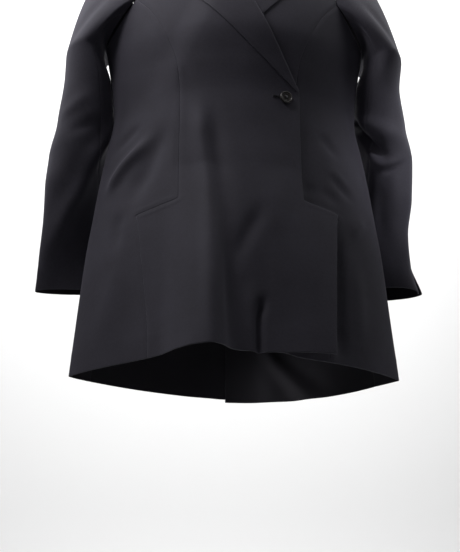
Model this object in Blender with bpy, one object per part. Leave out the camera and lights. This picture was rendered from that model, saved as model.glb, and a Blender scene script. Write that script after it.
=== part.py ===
"""Peak-lapel jacket, filled out and hollow, with the right front lapped over the left.

Metres, +Z up. The front faces -Y and the wearer's right is -X. The origin is the centre of the
neck opening at the height of the back neck seam, where the wearer holds the jacket up.
Every panel is a wall: a grid of points on the cloth's outer face, and the same grid moved in.
"""

import math
from collections import namedtuple

import bmesh
import bpy
from mathutils import Vector

# Driving sizes
BACK_LENGTH = 0.78
CLOTH = 0.0018
LAPEL_CLOTH = 0.0016
HALF_GAP = 0.00015
ARMPIT = 0.58
NOTCH = 0.635
CHEST = 0.62
BREAK = 0.45
BREAK_X = 0.099
NECK_X = 0.072
NECK_HEIGHT = 0.797
SHOULDER_X = 0.205
SHOULDER_HEIGHT = 0.755
SHOULDER_Y = 0.008
GORGE_HEIGHT = 0.748
CUFF_HEIGHT = 0.158
VENT_TOP = 0.235
VENT_LAP = 0.040
VENT_UNDERLAP = 0.009
VENT_LIFT = 0.0038
VENT_CLOSING = 0.013
# The lapped back lies lifted over the other, and sinks back over these heights and widths
VENT_LIFT_LOW = 0.012
VENT_LIFT_HIGH = 0.027
VENT_LIFT_INNER = 0.014
VENT_LIFT_OUTER = 0.042

# Body sections, by height above the hem
Section = namedtuple("Section", "height half_width front_depth back_depth flatness")
SECTIONS = (
    Section(0.00, 0.2555, 0.140, 0.142, 0.88),
    Section(0.06, 0.2505, 0.137, 0.137, 0.86),
    Section(0.13, 0.2450, 0.133, 0.131, 0.82),
    Section(0.20, 0.2385, 0.128, 0.124, 0.76),
    Section(0.26, 0.2305, 0.122, 0.115, 0.68),
    Section(0.32, 0.2225, 0.115, 0.105, 0.60),
    Section(0.38, 0.2135, 0.109, 0.095, 0.50),
    Section(0.44, 0.2040, 0.107, 0.089, 0.40),
    Section(0.50, 0.2090, 0.116, 0.094, 0.32),
    Section(0.56, 0.2190, 0.126, 0.104, 0.27),
    Section(0.62, 0.2280, 0.120, 0.108, 0.25),
    Section(0.68, 0.2330, 0.103, 0.102, 0.25),
    Section(0.74, 0.2360, 0.076, 0.089, 0.25),
    Section(0.80, 0.2380, 0.050, 0.070, 0.25),
)

# The seam between a front and its side panel, which steps outward at the hip
SeamRow = namedtuple("SeamRow", "height across")
FRONT_SEAM = (
    SeamRow(0.0000, 0.1330),
    SeamRow(0.0550, 0.1355),
    SeamRow(0.1150, 0.1420),
    SeamRow(0.1770, 0.1495),
    SeamRow(0.2250, 0.1550),
    SeamRow(0.2350, 0.1575),
    SeamRow(0.2440, 0.1220),
    SeamRow(0.2520, 0.0985),
    SeamRow(0.2630, 0.0983),
    SeamRow(0.3500, 0.0985),
    SeamRow(0.4500, 0.0990),
    SeamRow(0.5000, 0.1040),
    SeamRow(0.5500, 0.1180),
    SeamRow(0.6000, 0.1430),
    SeamRow(0.6350, 0.1700),
)

# The free edge of the top layer, which mirrors that seam
FREE_EDGE = (
    SeamRow(0.000, 0.1355),
    SeamRow(0.110, 0.1410),
    SeamRow(0.172, 0.1445),
    SeamRow(0.225, 0.1505),
    SeamRow(0.233, 0.1530),
    SeamRow(0.252, 0.0990),
    SeamRow(0.263, 0.0985),
    SeamRow(0.350, 0.0980),
    SeamRow(0.450, 0.0990),
)
ARMHOLE_FRONT = (
    SeamRow(0.635, 0.1700),
    SeamRow(0.670, 0.1665),
    SeamRow(0.700, 0.1710),
    SeamRow(0.730, 0.1850),
    SeamRow(0.755, 0.2050),
)
ARMHOLE_BACK = (
    SeamRow(0.635, 0.1780),
    SeamRow(0.670, 0.1750),
    SeamRow(0.700, 0.1785),
    SeamRow(0.730, 0.1890),
    SeamRow(0.755, 0.2050),
)
BACK_SEAM_LOW = 118.0
BACK_SEAM_TURN = 0.30
SEAM_GAP_ANGLE = 0.09
SHOULDER_GAP = 0.0005
SHOULDER_GAP_START = 0.9

# How far the top layer stands off the layer below, across its hem
HemRow = namedtuple("HemRow", "across out")
HEM_STAND_OFF = (
    HemRow(-0.170, 0.000),
    HemRow(-0.140, 0.002),
    HemRow(-0.118, 0.010),
    HemRow(-0.090, 0.040),
    HemRow(-0.068, 0.055),
    HemRow(-0.045, 0.058),
    HemRow(-0.028, 0.048),
    HemRow(-0.010, 0.026),
    HemRow(0.010, 0.017),
    HemRow(0.035, 0.012),
    HemRow(0.060, 0.018),
    HemRow(0.100, 0.032),
    HemRow(0.136, 0.042),
    HemRow(0.160, 0.048),
)
# How far the layer below swings out with it
UNDER_SWING = (
    HemRow(-0.150, 0.004),
    HemRow(-0.118, 0.009),
    HemRow(-0.090, 0.036),
    HemRow(-0.068, 0.048),
    HemRow(-0.045, 0.050),
    HemRow(-0.028, 0.040),
    HemRow(-0.010, 0.018),
    HemRow(0.010, 0.010),
    HemRow(0.035, 0.006),
    HemRow(0.060, 0.006),
    HemRow(0.085, 0.002),
    HemRow(0.110, 0.000),
    HemRow(0.260, 0.000),
)
# How far the back hem swings out, across the hem
BACK_SWING = (
    HemRow(-0.250, 0.000),
    HemRow(-0.200, -0.007),
    HemRow(-0.130, -0.010),
    HemRow(-0.060, -0.005),
    HemRow(0.000, 0.000),
    HemRow(0.060, 0.005),
    HemRow(0.140, 0.010),
    HemRow(0.200, 0.009),
    HemRow(0.250, 0.000),
)
STAND_OFF_TOP = 0.31
STAND_OFF_POWER = 1.15
UNDER_SWING_POWER = 1.6
SWING_TOP = 0.30
BACK_LEFT_DROP = 0.006
BACK_LEFT_DROP_TOP = 0.2
LAYER = 0.0058
UNDER_EDGE_HEM = -0.115
BLEND_START = 0.062
BLEND_END = 0.006

# Sleeve rings from the upper arm to the cuff, by minus the height above the body's hem. Skew sets
# the side next to the body back, and the outer side forward
SleeveRow = namedtuple(
    "SleeveRow", "level across back half_width half_depth turn skew front_seam back_seam"
)
SLEEVE_LEFT = (
    SleeveRow(-0.555, 0.2570, 0.002, 0.0320, 0.0690, 0.0, 0.00, 128.0, -78.0),
    SleeveRow(-0.500, 0.2490, 0.008, 0.0360, 0.0630, 0.0, 0.00, 130.0, -74.0),
    SleeveRow(-0.440, 0.2505, 0.015, 0.0420, 0.0570, 0.0, 0.10, 134.0, -66.0),
    SleeveRow(-0.380, 0.2600, 0.026, 0.0425, 0.0520, 0.0, 0.22, 140.0, -54.0),
    SleeveRow(-0.320, 0.2590, 0.037, 0.0415, 0.0455, 5.0, 0.22, 150.0, -40.0),
    SleeveRow(-0.260, 0.2530, 0.049, 0.0410, 0.0375, 9.0, 0.14, 162.0, -26.0),
    SleeveRow(-0.205, 0.2530, 0.053, 0.0440, 0.0310, 13.0, 0.04, 172.0, -14.0),
    SleeveRow(-0.158, 0.2585, 0.052, 0.0490, 0.0270, 17.0, 0.00, 178.0, -6.0),
)
SLEEVE_RIGHT = (
    SleeveRow(-0.555, 0.2570, 0.002, 0.0320, 0.0690, 0.0, 0.00, 128.0, -78.0),
    SleeveRow(-0.500, 0.2525, 0.008, 0.0395, 0.0630, 0.0, -0.06, 130.0, -74.0),
    SleeveRow(-0.440, 0.2540, 0.015, 0.0460, 0.0570, 0.0, -0.08, 134.0, -66.0),
    SleeveRow(-0.380, 0.2640, 0.026, 0.0470, 0.0520, 0.0, 0.00, 140.0, -54.0),
    SleeveRow(-0.320, 0.2660, 0.038, 0.0470, 0.0440, 0.0, 0.40, 150.0, -40.0),
    SleeveRow(-0.260, 0.2640, 0.050, 0.0500, 0.0330, 0.0, 0.50, 162.0, -26.0),
    SleeveRow(-0.205, 0.2635, 0.058, 0.0550, 0.0210, 0.0, 0.26, 172.0, -14.0),
    SleeveRow(-0.158, 0.2665, 0.063, 0.0580, 0.0140, 0.0, 0.02, 178.0, -6.0),
)
SLEEVE_EASE = 0.0006
# How far a sleeve leans on the back of the body's side, round which angle, and over which heights
SLEEVE_REST = 0.007
SLEEVE_REST_ANGLE = 205.0
SLEEVE_REST_WIDTH = 32.0
SLEEVE_REST_LOW = (0.34, 0.40)
SLEEVE_REST_HIGH = (0.53, 0.575)
CAP_RISE = 0.003
CAP_SPREAD = 0.052
CAP_OUT = 0.004
CAP_DEPTH = 1.12
CAP_DROP = 0.3
CAP_SHARE = 0.22
CAP_SHARES = (0.0, 0.18, 0.36, 0.54, 0.72, 0.88)
SLEEVE_ROWS = 12
SLEEVE_GAP_ANGLE = 0.3
SLEEVE_VENT = 0.240
SLEEVE_VENT_SHARE = 0.45
SLEEVE_VENT_OUT = {1: 0.0065, -1: 0.001}
SLEEVE_VENT_BACK = {1: 0.001, -1: 0.001}

# Lapel outline on its own side, as across and height above the hem
LAPEL_TIP = (0.148, 0.722)
LAPEL_NOTCH = (0.108, 0.700)
LAPEL_NOTCH_SHARE = 0.72
LAPEL_NOTCH_START = 0.55
LAPEL_BELLY = 0.012
LAPEL_BELLY_DROP = 0.6
LAPEL_BASE = 0.002
LAPEL_START = 0.005
LAPEL_COLUMNS = (0.0, 0.12, 0.28, 0.44, 0.58, 0.72, 0.86, 1.0)
LAPEL_ROWS = 14

# Collar from the centre back at 0 to the gorge at 1: how high its stand is and how far that leans
# in, the radius of its fold, and its outer edge as across, out (+Y) and height
CollarRow = namedtuple("CollarRow", "station stand lean fold across out height")
COLLAR = (
    CollarRow(0.00, 0.031, 0.008, 0.0034, 0.000, 0.074, 0.7640),
    CollarRow(0.25, 0.030, 0.006, 0.0034, 0.080, 0.060, 0.7710),
    CollarRow(0.50, 0.025, 0.004, 0.0034, 0.113, 0.014, 0.7850),
    CollarRow(0.75, 0.014, 0.001, 0.0034, 0.127, -0.030, 0.7640),
    CollarRow(1.00, 0.0055, 0.000, 0.0034, 0.122, -0.055, 0.7320),
)
COLLAR_STATIONS = (0.0, 0.1, 0.2, 0.3, 0.38, 0.46, 0.54, 0.62, 0.7, 0.78, 0.85, 0.91, 0.96, 1.0)
COLLAR_FALL = (0.0, 0.2, 0.4, 0.6, 0.75, 0.9, 1.0)
COLLAR_NOTCH_SHARE = 0.75
COLLAR_NOTCH_START = 0.62
COLLAR_SEAT_START = 0.55
COLLAR_STAND_BENDS = 4
FOLD_RISE = 0.7
GORGE_GAP = 0.0010
SEAM_GAP = 0.0008
COLLAR_END_GAP = 0.0024
ROLL_SLOPE = (BREAK_X + NECK_X) / (NECK_HEIGHT - BREAK)
COLLAR_LIFT = 0.0016
LAPEL_LIFT = 0.0008
BUTTON_LIFT = 0.0008

BUTTON_AT = (0.076, 0.436)
BUTTON_RADIUS = 0.0105
BUTTON_THICKNESS = 0.0038
BUTTON_RIM = 0.0022
BUTTON_DISH = 0.0009
BUTTON_SEGMENTS = 24
BUTTON_HOLES = 4
BUTTON_HOLE_RADIUS = 0.0010
BUTTON_HOLE_SPREAD = 0.0027
BUTTON_HOLE_SEGMENTS = 8

LOW_ROWS = (0.0, 0.03, 0.06, 0.09, 0.12, 0.15, 0.18, 0.205, 0.225, 0.235, 0.244, 0.253, 0.263)
MID_ROWS = (0.29, 0.33, 0.37, 0.41)
VENT_ROWS = (0.0, 0.04, 0.08, 0.12, 0.16, 0.20, 0.222, 0.235, 0.247, 0.262)
SIDE_SHARES = tuple(i / 7 for i in range(8))
NOTCH_SHARE = (NOTCH - BREAK) / (SHOULDER_HEIGHT - BREAK)
SHOULDER_SHARES = (0.68, 0.76, 0.84, 0.91, 0.96, 0.988, 1.0)
TOP_SHARES = tuple(NOTCH_SHARE * share for share in SIDE_SHARES) + SHOULDER_SHARES

CHARCOAL = (0.031, 0.031, 0.036, 1.0)
CHARCOAL_ROUGHNESS = 0.85
HORN = (0.018, 0.018, 0.020, 1.0)
HORN_ROUGHNESS = 0.35
SHARP_ANGLE = 40.0

# Steps of the differences that give a slope or a normal
SLOPE_STEP = 0.001
NORMAL_STEP = 0.004

# The centre, above the chest, that the fall of the collar is pushed away from, and the halvings
CLEAR_CENTRE = 0.06
CLEAR_HALVINGS = 30


def smooth(low, high, value):
    share = min(1.0, max(0.0, (value - low) / (high - low)))
    return share * share * (3.0 - 2.0 * share)


def lerp(start, end, share):
    return start + (end - start) * share


def read(rows, key, column):
    """A value of a table between its rows, on a curve that never overshoots them."""
    keys = [row[0] for row in rows]
    values = [getattr(row, column) for row in rows]
    key = min(keys[-1], max(keys[0], key))
    last = len(rows) - 1
    i = 0
    while i < last - 1 and key > keys[i + 1]:
        i += 1
    slopes = [(values[j + 1] - values[j]) / (keys[j + 1] - keys[j]) for j in range(last)]

    def tangent(j):
        if j in (0, last):
            return slopes[min(j, last - 1)]
        before, after = slopes[j - 1], slopes[j]
        if before * after <= 0.0:
            return 0.0
        return 2.0 * before * after / (before + after)

    width = keys[i + 1] - keys[i]
    share = (key - keys[i]) / width
    square, cube = share * share, share * share * share
    return (
        (2 * cube - 3 * square + 1) * values[i]
        + (cube - 2 * square + share) * width * tangent(i)
        + (3 * square - 2 * cube) * values[i + 1]
        + (cube - square) * width * tangent(i + 1)
    )


def shoulder_line(across):
    """Height of the shoulder seam, carried on in a soft arch over the neck."""
    slope = (NECK_HEIGHT - SHOULDER_HEIGHT) / (SHOULDER_X - NECK_X)
    if abs(across) < NECK_X:
        return NECK_HEIGHT + slope * NECK_X / 2.0 * (1.0 - (across / NECK_X) ** 2)
    return NECK_HEIGHT - slope * (abs(across) - NECK_X)


def body(across, height, back=False):
    """A point on the outer face of the body, from how far across and how high it lies."""
    half_width = read(SECTIONS, height, "half_width")
    depth = read(SECTIONS, height, "back_depth" if back else "front_depth")
    flatness = read(SECTIONS, height, "flatness")
    share = max(-1.0, min(1.0, across / half_width))
    turn = math.sqrt(1.0 - share * share)
    y = depth * ((1.0 - flatness) * turn + flatness * turn * turn)
    if back:
        y += read(BACK_SWING, across, "out") * max(0.0, 1.0 - height / SWING_TOP)
    else:
        y = -y
    if height > CHEST:
        rise = min(1.0, (height - CHEST) / (shoulder_line(across) - CHEST))
        y = SHOULDER_Y + (y - SHOULDER_Y) * math.sqrt(1.0 - rise**4)
    return Vector((across, y, height - BACK_LENGTH))


def around(angle, height):
    """A point on the body's outer face, 0 at the centre front and 90 degrees at its left side."""
    half_width = read(SECTIONS, height, "half_width")
    radians = math.radians(angle)
    return body(half_width * math.sin(radians), height, back=math.cos(radians) < 0.0)


def seam_angle(across, height, back=False):
    half_width = read(SECTIONS, height, "half_width")
    angle = math.degrees(math.asin(min(1.0, across / half_width)))
    return 180.0 - angle if back else angle


def roll_line(height):
    """How far the front edge reaches past the centre, along the break of the lapel."""
    return BREAK_X - ROLL_SLOPE * (height - BREAK)


def under_edge(height):
    if height > BREAK:
        return roll_line(height)
    return lerp(-UNDER_EDGE_HEM, BREAK_X, height / BREAK)


def over_edge(height):
    if height > BREAK:
        return roll_line(height)
    return read(FREE_EDGE, height, "across")


def stand_off(across, height):
    """How far the top layer hangs in front of the body's outer face."""
    edge = -under_edge(height)
    layer = LAYER * smooth(edge - BLEND_START, edge - BLEND_END, across)
    share = max(0.0, 1.0 - height / STAND_OFF_TOP)
    return layer + read(HEM_STAND_OFF, across, "out") * share**STAND_OFF_POWER


def over(across, height):
    return body(across, height) - Vector((0.0, stand_off(across, height), 0.0))


def under(across, height):
    share = max(0.0, 1.0 - height / STAND_OFF_TOP)
    out = read(UNDER_SWING, across, "out") * share**UNDER_SWING_POWER
    return body(across, height) - Vector((0.0, out, 0.0))


def seam_gap(rows, height):
    """Half a seam's gap measured level, wider where the seam slants."""
    above = read(rows, height + SLOPE_STEP, "across")
    below = read(rows, height - SLOPE_STEP, "across")
    return HALF_GAP * math.sqrt(1.0 + ((above - below) / (2.0 * SLOPE_STEP)) ** 2)


def front_boundary(height):
    rows = FRONT_SEAM if height <= NOTCH else ARMHOLE_FRONT
    return read(rows, height, "across"), seam_gap(rows, height)


def laid(surface, across, height, lift):
    """A point lifted off a surface of across and height, along its normal."""
    step = SLOPE_STEP
    sideways = surface(across + step, height) - surface(across - step, height)
    upwards = surface(across, height + step) - surface(across, height - step)
    return surface(across, height) + sideways.cross(upwards).normalized() * lift


def material(name, colour, roughness):
    made = bpy.data.materials.new(name)
    made.use_nodes = True
    shader = made.node_tree.nodes["Principled BSDF"]
    shader.inputs["Base Color"].default_value = colour
    shader.inputs["Roughness"].default_value = roughness
    shader.inputs["Metallic"].default_value = 0.0
    return made


def add_object(name, mesh_builder, colour, roughness):
    mesh = bpy.data.meshes.new(name)
    mesh_builder.to_mesh(mesh)
    mesh_builder.free()
    mesh.shade_smooth()
    mesh.set_sharp_from_angle(angle=math.radians(SHARP_ANGLE))
    made = bpy.data.objects.new(name, mesh)
    made.data.materials.append(material(name, colour, roughness))
    bpy.context.scene.collection.objects.link(made)
    return made


def add_wall(name, point, columns, rows, thickness=CLOTH):
    """A closed wall under the surface point(u, v), with u to the right seen from outside."""

    def normal(u, v):
        v_low, v_high = max(rows[0], v - NORMAL_STEP), min(rows[-1], v + NORMAL_STEP)
        sideways = point(u + NORMAL_STEP, v) - point(u - NORMAL_STEP, v)
        upwards = point(u, v_high) - point(u, v_low)
        return sideways.cross(upwards).normalized()

    builder = bmesh.new()
    outer, inner = [], []
    for v in rows:
        places = [point(u, v) for u in columns]
        outer.append([builder.verts.new(p) for p in places])
        inward = [p - normal(u, v) * thickness for u, p in zip(columns, places)]
        inner.append([builder.verts.new(p) for p in inward])
    last_row, last_column = len(rows) - 1, len(columns) - 1
    for i in range(last_row):
        for j in range(last_column):
            builder.faces.new((outer[i][j], outer[i][j + 1], outer[i + 1][j + 1], outer[i + 1][j]))
            builder.faces.new((inner[i][j], inner[i + 1][j], inner[i + 1][j + 1], inner[i][j + 1]))
    for j in range(last_column):
        builder.faces.new((outer[0][j], inner[0][j], inner[0][j + 1], outer[0][j + 1]))
        top = (outer[last_row][j], outer[last_row][j + 1])
        builder.faces.new((*top, inner[last_row][j + 1], inner[last_row][j]))
    for i in range(last_row):
        builder.faces.new((outer[i][0], outer[i + 1][0], inner[i + 1][0], inner[i][0]))
        right = (outer[i][last_column], inner[i][last_column])
        builder.faces.new((*right, inner[i + 1][last_column], outer[i + 1][last_column]))
    bmesh.ops.triangulate(builder, faces=builder.faces)
    return add_object(name, builder, CHARCOAL, CHARCOAL_ROUGHNESS)


def spread(count):
    return [i / count for i in range(count + 1)]


def panel_rows(levels, shares):
    """Rows of a panel: heights below the break run from 0 to 1, what is above from 1 to 2."""
    return [level / BREAK for level in levels] + [1.0 + share for share in shares]


def add_front(name, side, edge, surface, columns):
    def point(u, v):
        top = max(0.0, v - 1.0)
        low = min(1.0, v) * BREAK
        inner_height = lerp(BREAK, NECK_HEIGHT, top) if top else low
        outer_height = lerp(BREAK, SHOULDER_HEIGHT, top) if top else low
        reach, gap = front_boundary(outer_height)
        inner = -edge(inner_height) + HALF_GAP
        share = u if side > 0 else 1.0 - u
        across = side * lerp(inner, reach - gap, share)
        place = surface(across, lerp(inner_height, outer_height, share))
        place.y -= SHOULDER_GAP * smooth(SHOULDER_GAP_START, 1.0, top)
        return place

    return add_wall(name, point, spread(columns), panel_rows(LOW_ROWS + MID_ROWS, TOP_SHARES))


FRONT_NOTCH_ANGLE = seam_angle(FRONT_SEAM[-1].across, NOTCH)
BACK_NOTCH_ANGLE = seam_angle(ARMHOLE_BACK[0].across, NOTCH, back=True)


def back_seam_angle(height):
    return lerp(BACK_SEAM_LOW, BACK_NOTCH_ANGLE, smooth(BACK_SEAM_TURN, NOTCH, height))


def add_side(name, side, surface, columns):
    def point(u, v):
        share = u if side > 0 else 1.0 - u
        scoop = lerp(ARMPIT, NOTCH, (2.0 * share - 1.0) ** 2) - HALF_GAP
        height = lerp(BREAK, scoop, v - 1.0) if v > 1.0 else v * BREAK
        start = lerp(BREAK, NOTCH, v - 1.0) if v > 1.0 else height
        reach, gap = front_boundary(start)
        front_angle = seam_angle(reach + gap, start)
        angle = lerp(front_angle, back_seam_angle(start) - SEAM_GAP_ANGLE, share)
        half_width = read(SECTIONS, height, "half_width")
        across = side * half_width * math.sin(math.radians(angle))
        if angle > 90.0:
            return body(across, height, back=True)
        return surface(across, height)

    return add_wall(name, point, spread(columns), panel_rows(LOW_ROWS + MID_ROWS, SIDE_SHARES))


def back_reach(height):
    if height > NOTCH:
        return read(ARMHOLE_BACK, height, "across") - HALF_GAP
    angle = math.radians(back_seam_angle(height) + SEAM_GAP_ANGLE)
    return read(SECTIONS, height, "half_width") * math.sin(angle)


def back_top(across):
    """Height of the neck seam and of the shoulder seam, across the back."""
    if across < NECK_X:
        return lerp(BACK_LENGTH, NECK_HEIGHT, (across / NECK_X) ** 2)
    return shoulder_line(across)


def add_back(name, side, lapped, columns):
    """A back panel. The lapped one reaches past the centre outside the other, below the vent."""

    def point(u, v):
        top = max(0.0, v - 1.0)
        low = min(1.0, v) * BREAK
        share = u if side < 0 else 1.0 - u
        outer_height = lerp(BREAK, SHOULDER_HEIGHT, top) if top else low
        reach = back_reach(outer_height)
        reach_past = VENT_LAP if lapped else VENT_UNDERLAP
        lap = reach_past * (1.0 - smooth(VENT_TOP - VENT_CLOSING, VENT_TOP, low))
        across = lerp(HALF_GAP - lap, reach, share)
        seam_top = back_top(lerp(0.0, SHOULDER_X, share))
        height = lerp(BREAK, seam_top, top) if top else low
        place = body(side * across, height, back=True)
        if lapped:
            level = 1.0 - smooth(VENT_TOP + VENT_LIFT_LOW, VENT_TOP + VENT_LIFT_HIGH, low)
            width = 1.0 - smooth(VENT_LIFT_INNER, VENT_LIFT_OUTER, across)
            place.y += VENT_LIFT * level * width
        else:
            level = 1.0 - smooth(0.0, BACK_LEFT_DROP_TOP, low)
            place.z -= BACK_LEFT_DROP * (1.0 - share**3) * level
        place.y += SHOULDER_GAP * smooth(SHOULDER_GAP_START, 1.0, top)
        return place

    return add_wall(name, point, spread(columns), panel_rows(VENT_ROWS + MID_ROWS, TOP_SHARES))


def armhole(angle, side):
    """A point of the armhole, 0 at the shoulder, 90 degrees at the front and 180 below the arm."""
    radians = math.radians(angle)
    height = lerp(ARMPIT, SHOULDER_HEIGHT, (1.0 + math.cos(radians)) / 2.0)
    back = math.sin(radians) < 0.0
    if height > NOTCH:
        across = read(ARMHOLE_BACK if back else ARMHOLE_FRONT, height, "across")
        return body(side * across, height, back)
    middle = (FRONT_NOTCH_ANGLE + BACK_NOTCH_ANGLE) / 2.0
    end = BACK_NOTCH_ANGLE if back else FRONT_NOTCH_ANGLE
    turn = lerp(middle, end, math.sqrt((height - ARMPIT) / (NOTCH - ARMPIT)))
    return around(side * turn, height)


def sleeve_ring(rows, side, angle, height):
    radians = math.radians(angle)
    wide = read(rows, -height, "half_width") * math.cos(radians)
    deep = read(rows, -height, "half_depth") * math.sin(radians)
    turn = math.radians(read(rows, -height, "turn"))
    across = read(rows, -height, "across") + wide * math.cos(turn) - deep * math.sin(turn)
    out = read(rows, -height, "back") - wide * math.sin(turn) - deep * math.cos(turn)
    off = (angle - SLEEVE_REST_ANGLE + 180.0) % 360.0 - 180.0
    rest = SLEEVE_REST * math.exp(-((off / SLEEVE_REST_WIDTH) ** 2))
    rest *= smooth(*SLEEVE_REST_LOW, height) * (1.0 - smooth(*SLEEVE_REST_HIGH, height))
    out -= read(rows, -height, "skew") * wide
    return Vector((side * (across - rest), out, height - BACK_LENGTH))


def sleeve_point(rows, side, angle, along):
    """A point of a sleeve, from the armhole at 0 to the cuff at 1."""
    if along > CAP_SHARE:
        share = (along - CAP_SHARE) / (1.0 - CAP_SHARE)
        return sleeve_ring(rows, side, angle, lerp(-rows[0].level, CUFF_HEIGHT, share))
    radians = math.radians(angle)
    start = armhole(angle, side) + Vector((side * SLEEVE_EASE, 0.0, 0.0))
    end = sleeve_ring(rows, side, angle, -rows[0].level)
    topness = (1.0 + math.cos(radians)) / 2.0
    spread_out = CAP_OUT + CAP_SPREAD * math.sqrt(topness)
    drop = CAP_DROP * math.sin(radians) ** 2 * (start.z - end.z)
    bend_z = start.z + CAP_RISE - drop
    bend = Vector((start.x + side * spread_out, start.y * CAP_DEPTH, bend_z))
    share = along / CAP_SHARE
    return start.lerp(bend, share).lerp(bend.lerp(end, share), share)


def add_sleeve(name, rows, side, under, columns):
    """The top or under half of a two-piece sleeve. The elbow seam opens as a vent at the cuff."""
    along = [CAP_SHARE * share for share in CAP_SHARES]
    along += [lerp(CAP_SHARE, 1.0, share) for share in spread(SLEEVE_ROWS)[1:]]

    def point(u, v):
        level = -lerp(-rows[0].level, CUFF_HEIGHT, max(0.0, (v - CAP_SHARE) / (1.0 - CAP_SHARE)))
        front = read(rows, level, "front_seam")
        back = read(rows, level, "back_seam")
        if under:
            start, end = front, back + 360.0
        else:
            start, end = back, front
        share = u if side < 0 else 1.0 - u
        angle = lerp(start + SLEEVE_GAP_ANGLE, end - SLEEVE_GAP_ANGLE, share)
        place = sleeve_point(rows, side, angle, v)
        if under:
            opening = smooth(-SLEEVE_VENT, -CUFF_HEIGHT, level)
            opening *= smooth(SLEEVE_VENT_SHARE, 1.0, share)
            place.x += side * SLEEVE_VENT_OUT[side] * opening
            place.y += SLEEVE_VENT_BACK[side] * opening
        return place

    rows_down = [1.0 - a for a in reversed(along)]
    return add_wall(name, lambda u, v: point(u, 1.0 - v), spread(columns), rows_down)


def lapel_point(side, surface, share, reach):
    """A point of a lapel, from its break to its gorge and from the roll line outwards."""
    height = lerp(BREAK + LAPEL_BASE, GORGE_HEIGHT, share)
    roll = -roll_line(height)
    start = -roll_line(BREAK + LAPEL_BASE) + LAPEL_START
    belly = LAPEL_BELLY * math.sin(math.pi * share)
    end_across = lerp(start, LAPEL_TIP[0], share) + belly
    end_height = lerp(BREAK, LAPEL_TIP[1], share) - LAPEL_BELLY_DROP * belly
    across = lerp(roll, end_across, reach)
    level = lerp(height, end_height, reach)
    weight = smooth(LAPEL_NOTCH_START, 1.0, share) * share
    if reach < LAPEL_NOTCH_SHARE:
        weight *= reach / LAPEL_NOTCH_SHARE
    else:
        weight *= (1.0 - reach) / (1.0 - LAPEL_NOTCH_SHARE)
    gorge = -roll_line(GORGE_HEIGHT)
    across += weight * (LAPEL_NOTCH[0] - lerp(gorge, LAPEL_TIP[0], LAPEL_NOTCH_SHARE))
    level += weight * (LAPEL_NOTCH[1] - lerp(GORGE_HEIGHT, LAPEL_TIP[1], LAPEL_NOTCH_SHARE))
    return laid(surface, side * across, level, LAPEL_LIFT + LAPEL_CLOTH)


def add_lapel(name, side, surface):
    def point(u, v):
        return lapel_point(side, surface, v, u if side > 0 else 1.0 - u)

    columns = LAPEL_COLUMNS if side > 0 else [1.0 - u for u in reversed(LAPEL_COLUMNS)]
    return add_wall(name, point, columns, spread(LAPEL_ROWS), LAPEL_CLOTH)


def clear_of_body(place, gap):
    """The place, or the nearest one outside the shoulders with this gap, in its own lengthwise cut."""
    height = place.z + BACK_LENGTH
    across = place.x
    centre = Vector((across, SHOULDER_Y, CHEST + CLEAR_CENTRE - BACK_LENGTH))
    back = place.y > SHOULDER_Y
    outward = place - centre
    low, high = CHEST, shoulder_line(across)
    for _ in range(CLEAR_HALVINGS):
        middle = (low + high) / 2.0
        skin = body(across, middle, back) - centre
        if abs(skin.y) * outward.z > abs(outward.y) * skin.z:
            low = middle
        else:
            high = middle
    skin = body(across, low, back) - centre
    if outward.length < skin.length + gap and height > CHEST:
        return centre + skin * ((skin.length + gap) / skin.length)
    return place


def neckline(station):
    """A point of the edge that the fronts and backs leave for the collar."""
    share = abs(2.0 * station - 1.0)
    if station < 0.5:
        across = NECK_X * (1.0 - share**2)
        return body(across, back_top(across), back=True)
    height = lerp(NECK_HEIGHT, GORGE_HEIGHT + COLLAR_END_GAP, share**2)
    return body(-roll_line(height), height)


def collar_section(station):
    """The collar's bends at one station: neck seam, up the stand, over the fold, down the fall."""
    sizes = {name: read(COLLAR, station, name) for name in CollarRow._fields[1:]}
    base = neckline(station)
    edge = Vector((sizes["across"], sizes["out"], sizes["height"] - BACK_LENGTH))
    rise = Vector((0.0, 0.0, 1.0))
    away = Vector((edge.x - base.x, edge.y - base.y, 0.0)).normalized()
    seat = smooth(COLLAR_SEAT_START, 1.0, station)
    if seat > 0.0:
        height = base.z + BACK_LENGTH
        skin = (laid(body, base.x, height, 1.0) - base).normalized()
        inward = Vector((-1.0, 0.0, ROLL_SLOPE))
        inward = (inward - skin * inward.dot(skin)).normalized()
        rise = rise.lerp(inward, seat).normalized()
        away = away.lerp(skin, seat).normalized()
    radius = sizes["fold"]
    seam = base + rise * SEAM_GAP - away * CLOTH
    inside = seam + rise * (sizes["stand"] - FOLD_RISE * radius) - away * sizes["lean"]
    fold = inside + (away + rise * FOLD_RISE) * radius
    outside = inside + away * 2.0 * radius
    bends = [seam, seam.lerp(inside, 0.5), inside, fold]
    notch = Vector((LAPEL_NOTCH[0], edge.y, LAPEL_NOTCH[1] + GORGE_GAP - BACK_LENGTH))
    shift = notch - outside.lerp(edge, COLLAR_NOTCH_SHARE)
    shift *= smooth(COLLAR_NOTCH_START, 1.0, station)
    for share in COLLAR_FALL:
        tent = min(share / COLLAR_NOTCH_SHARE, (1.0 - share) / (1.0 - COLLAR_NOTCH_SHARE))
        place = outside.lerp(edge, share) + shift * tent
        bends.append(clear_of_body(place, COLLAR_LIFT + CLOTH))
    return bends


def add_collar(name):
    stations = [-s for s in reversed(COLLAR_STATIONS[1:])] + list(COLLAR_STATIONS)

    def point(u, v):
        bends = collar_section(abs(u))
        i = min(int(v), len(bends) - 2)
        place = bends[i].lerp(bends[i + 1], v - i)
        if u < 0.0:
            place.x = -place.x
        return place

    count = COLLAR_STAND_BENDS + len(COLLAR_FALL)
    return add_wall(name, point, stations, list(range(count)))


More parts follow.
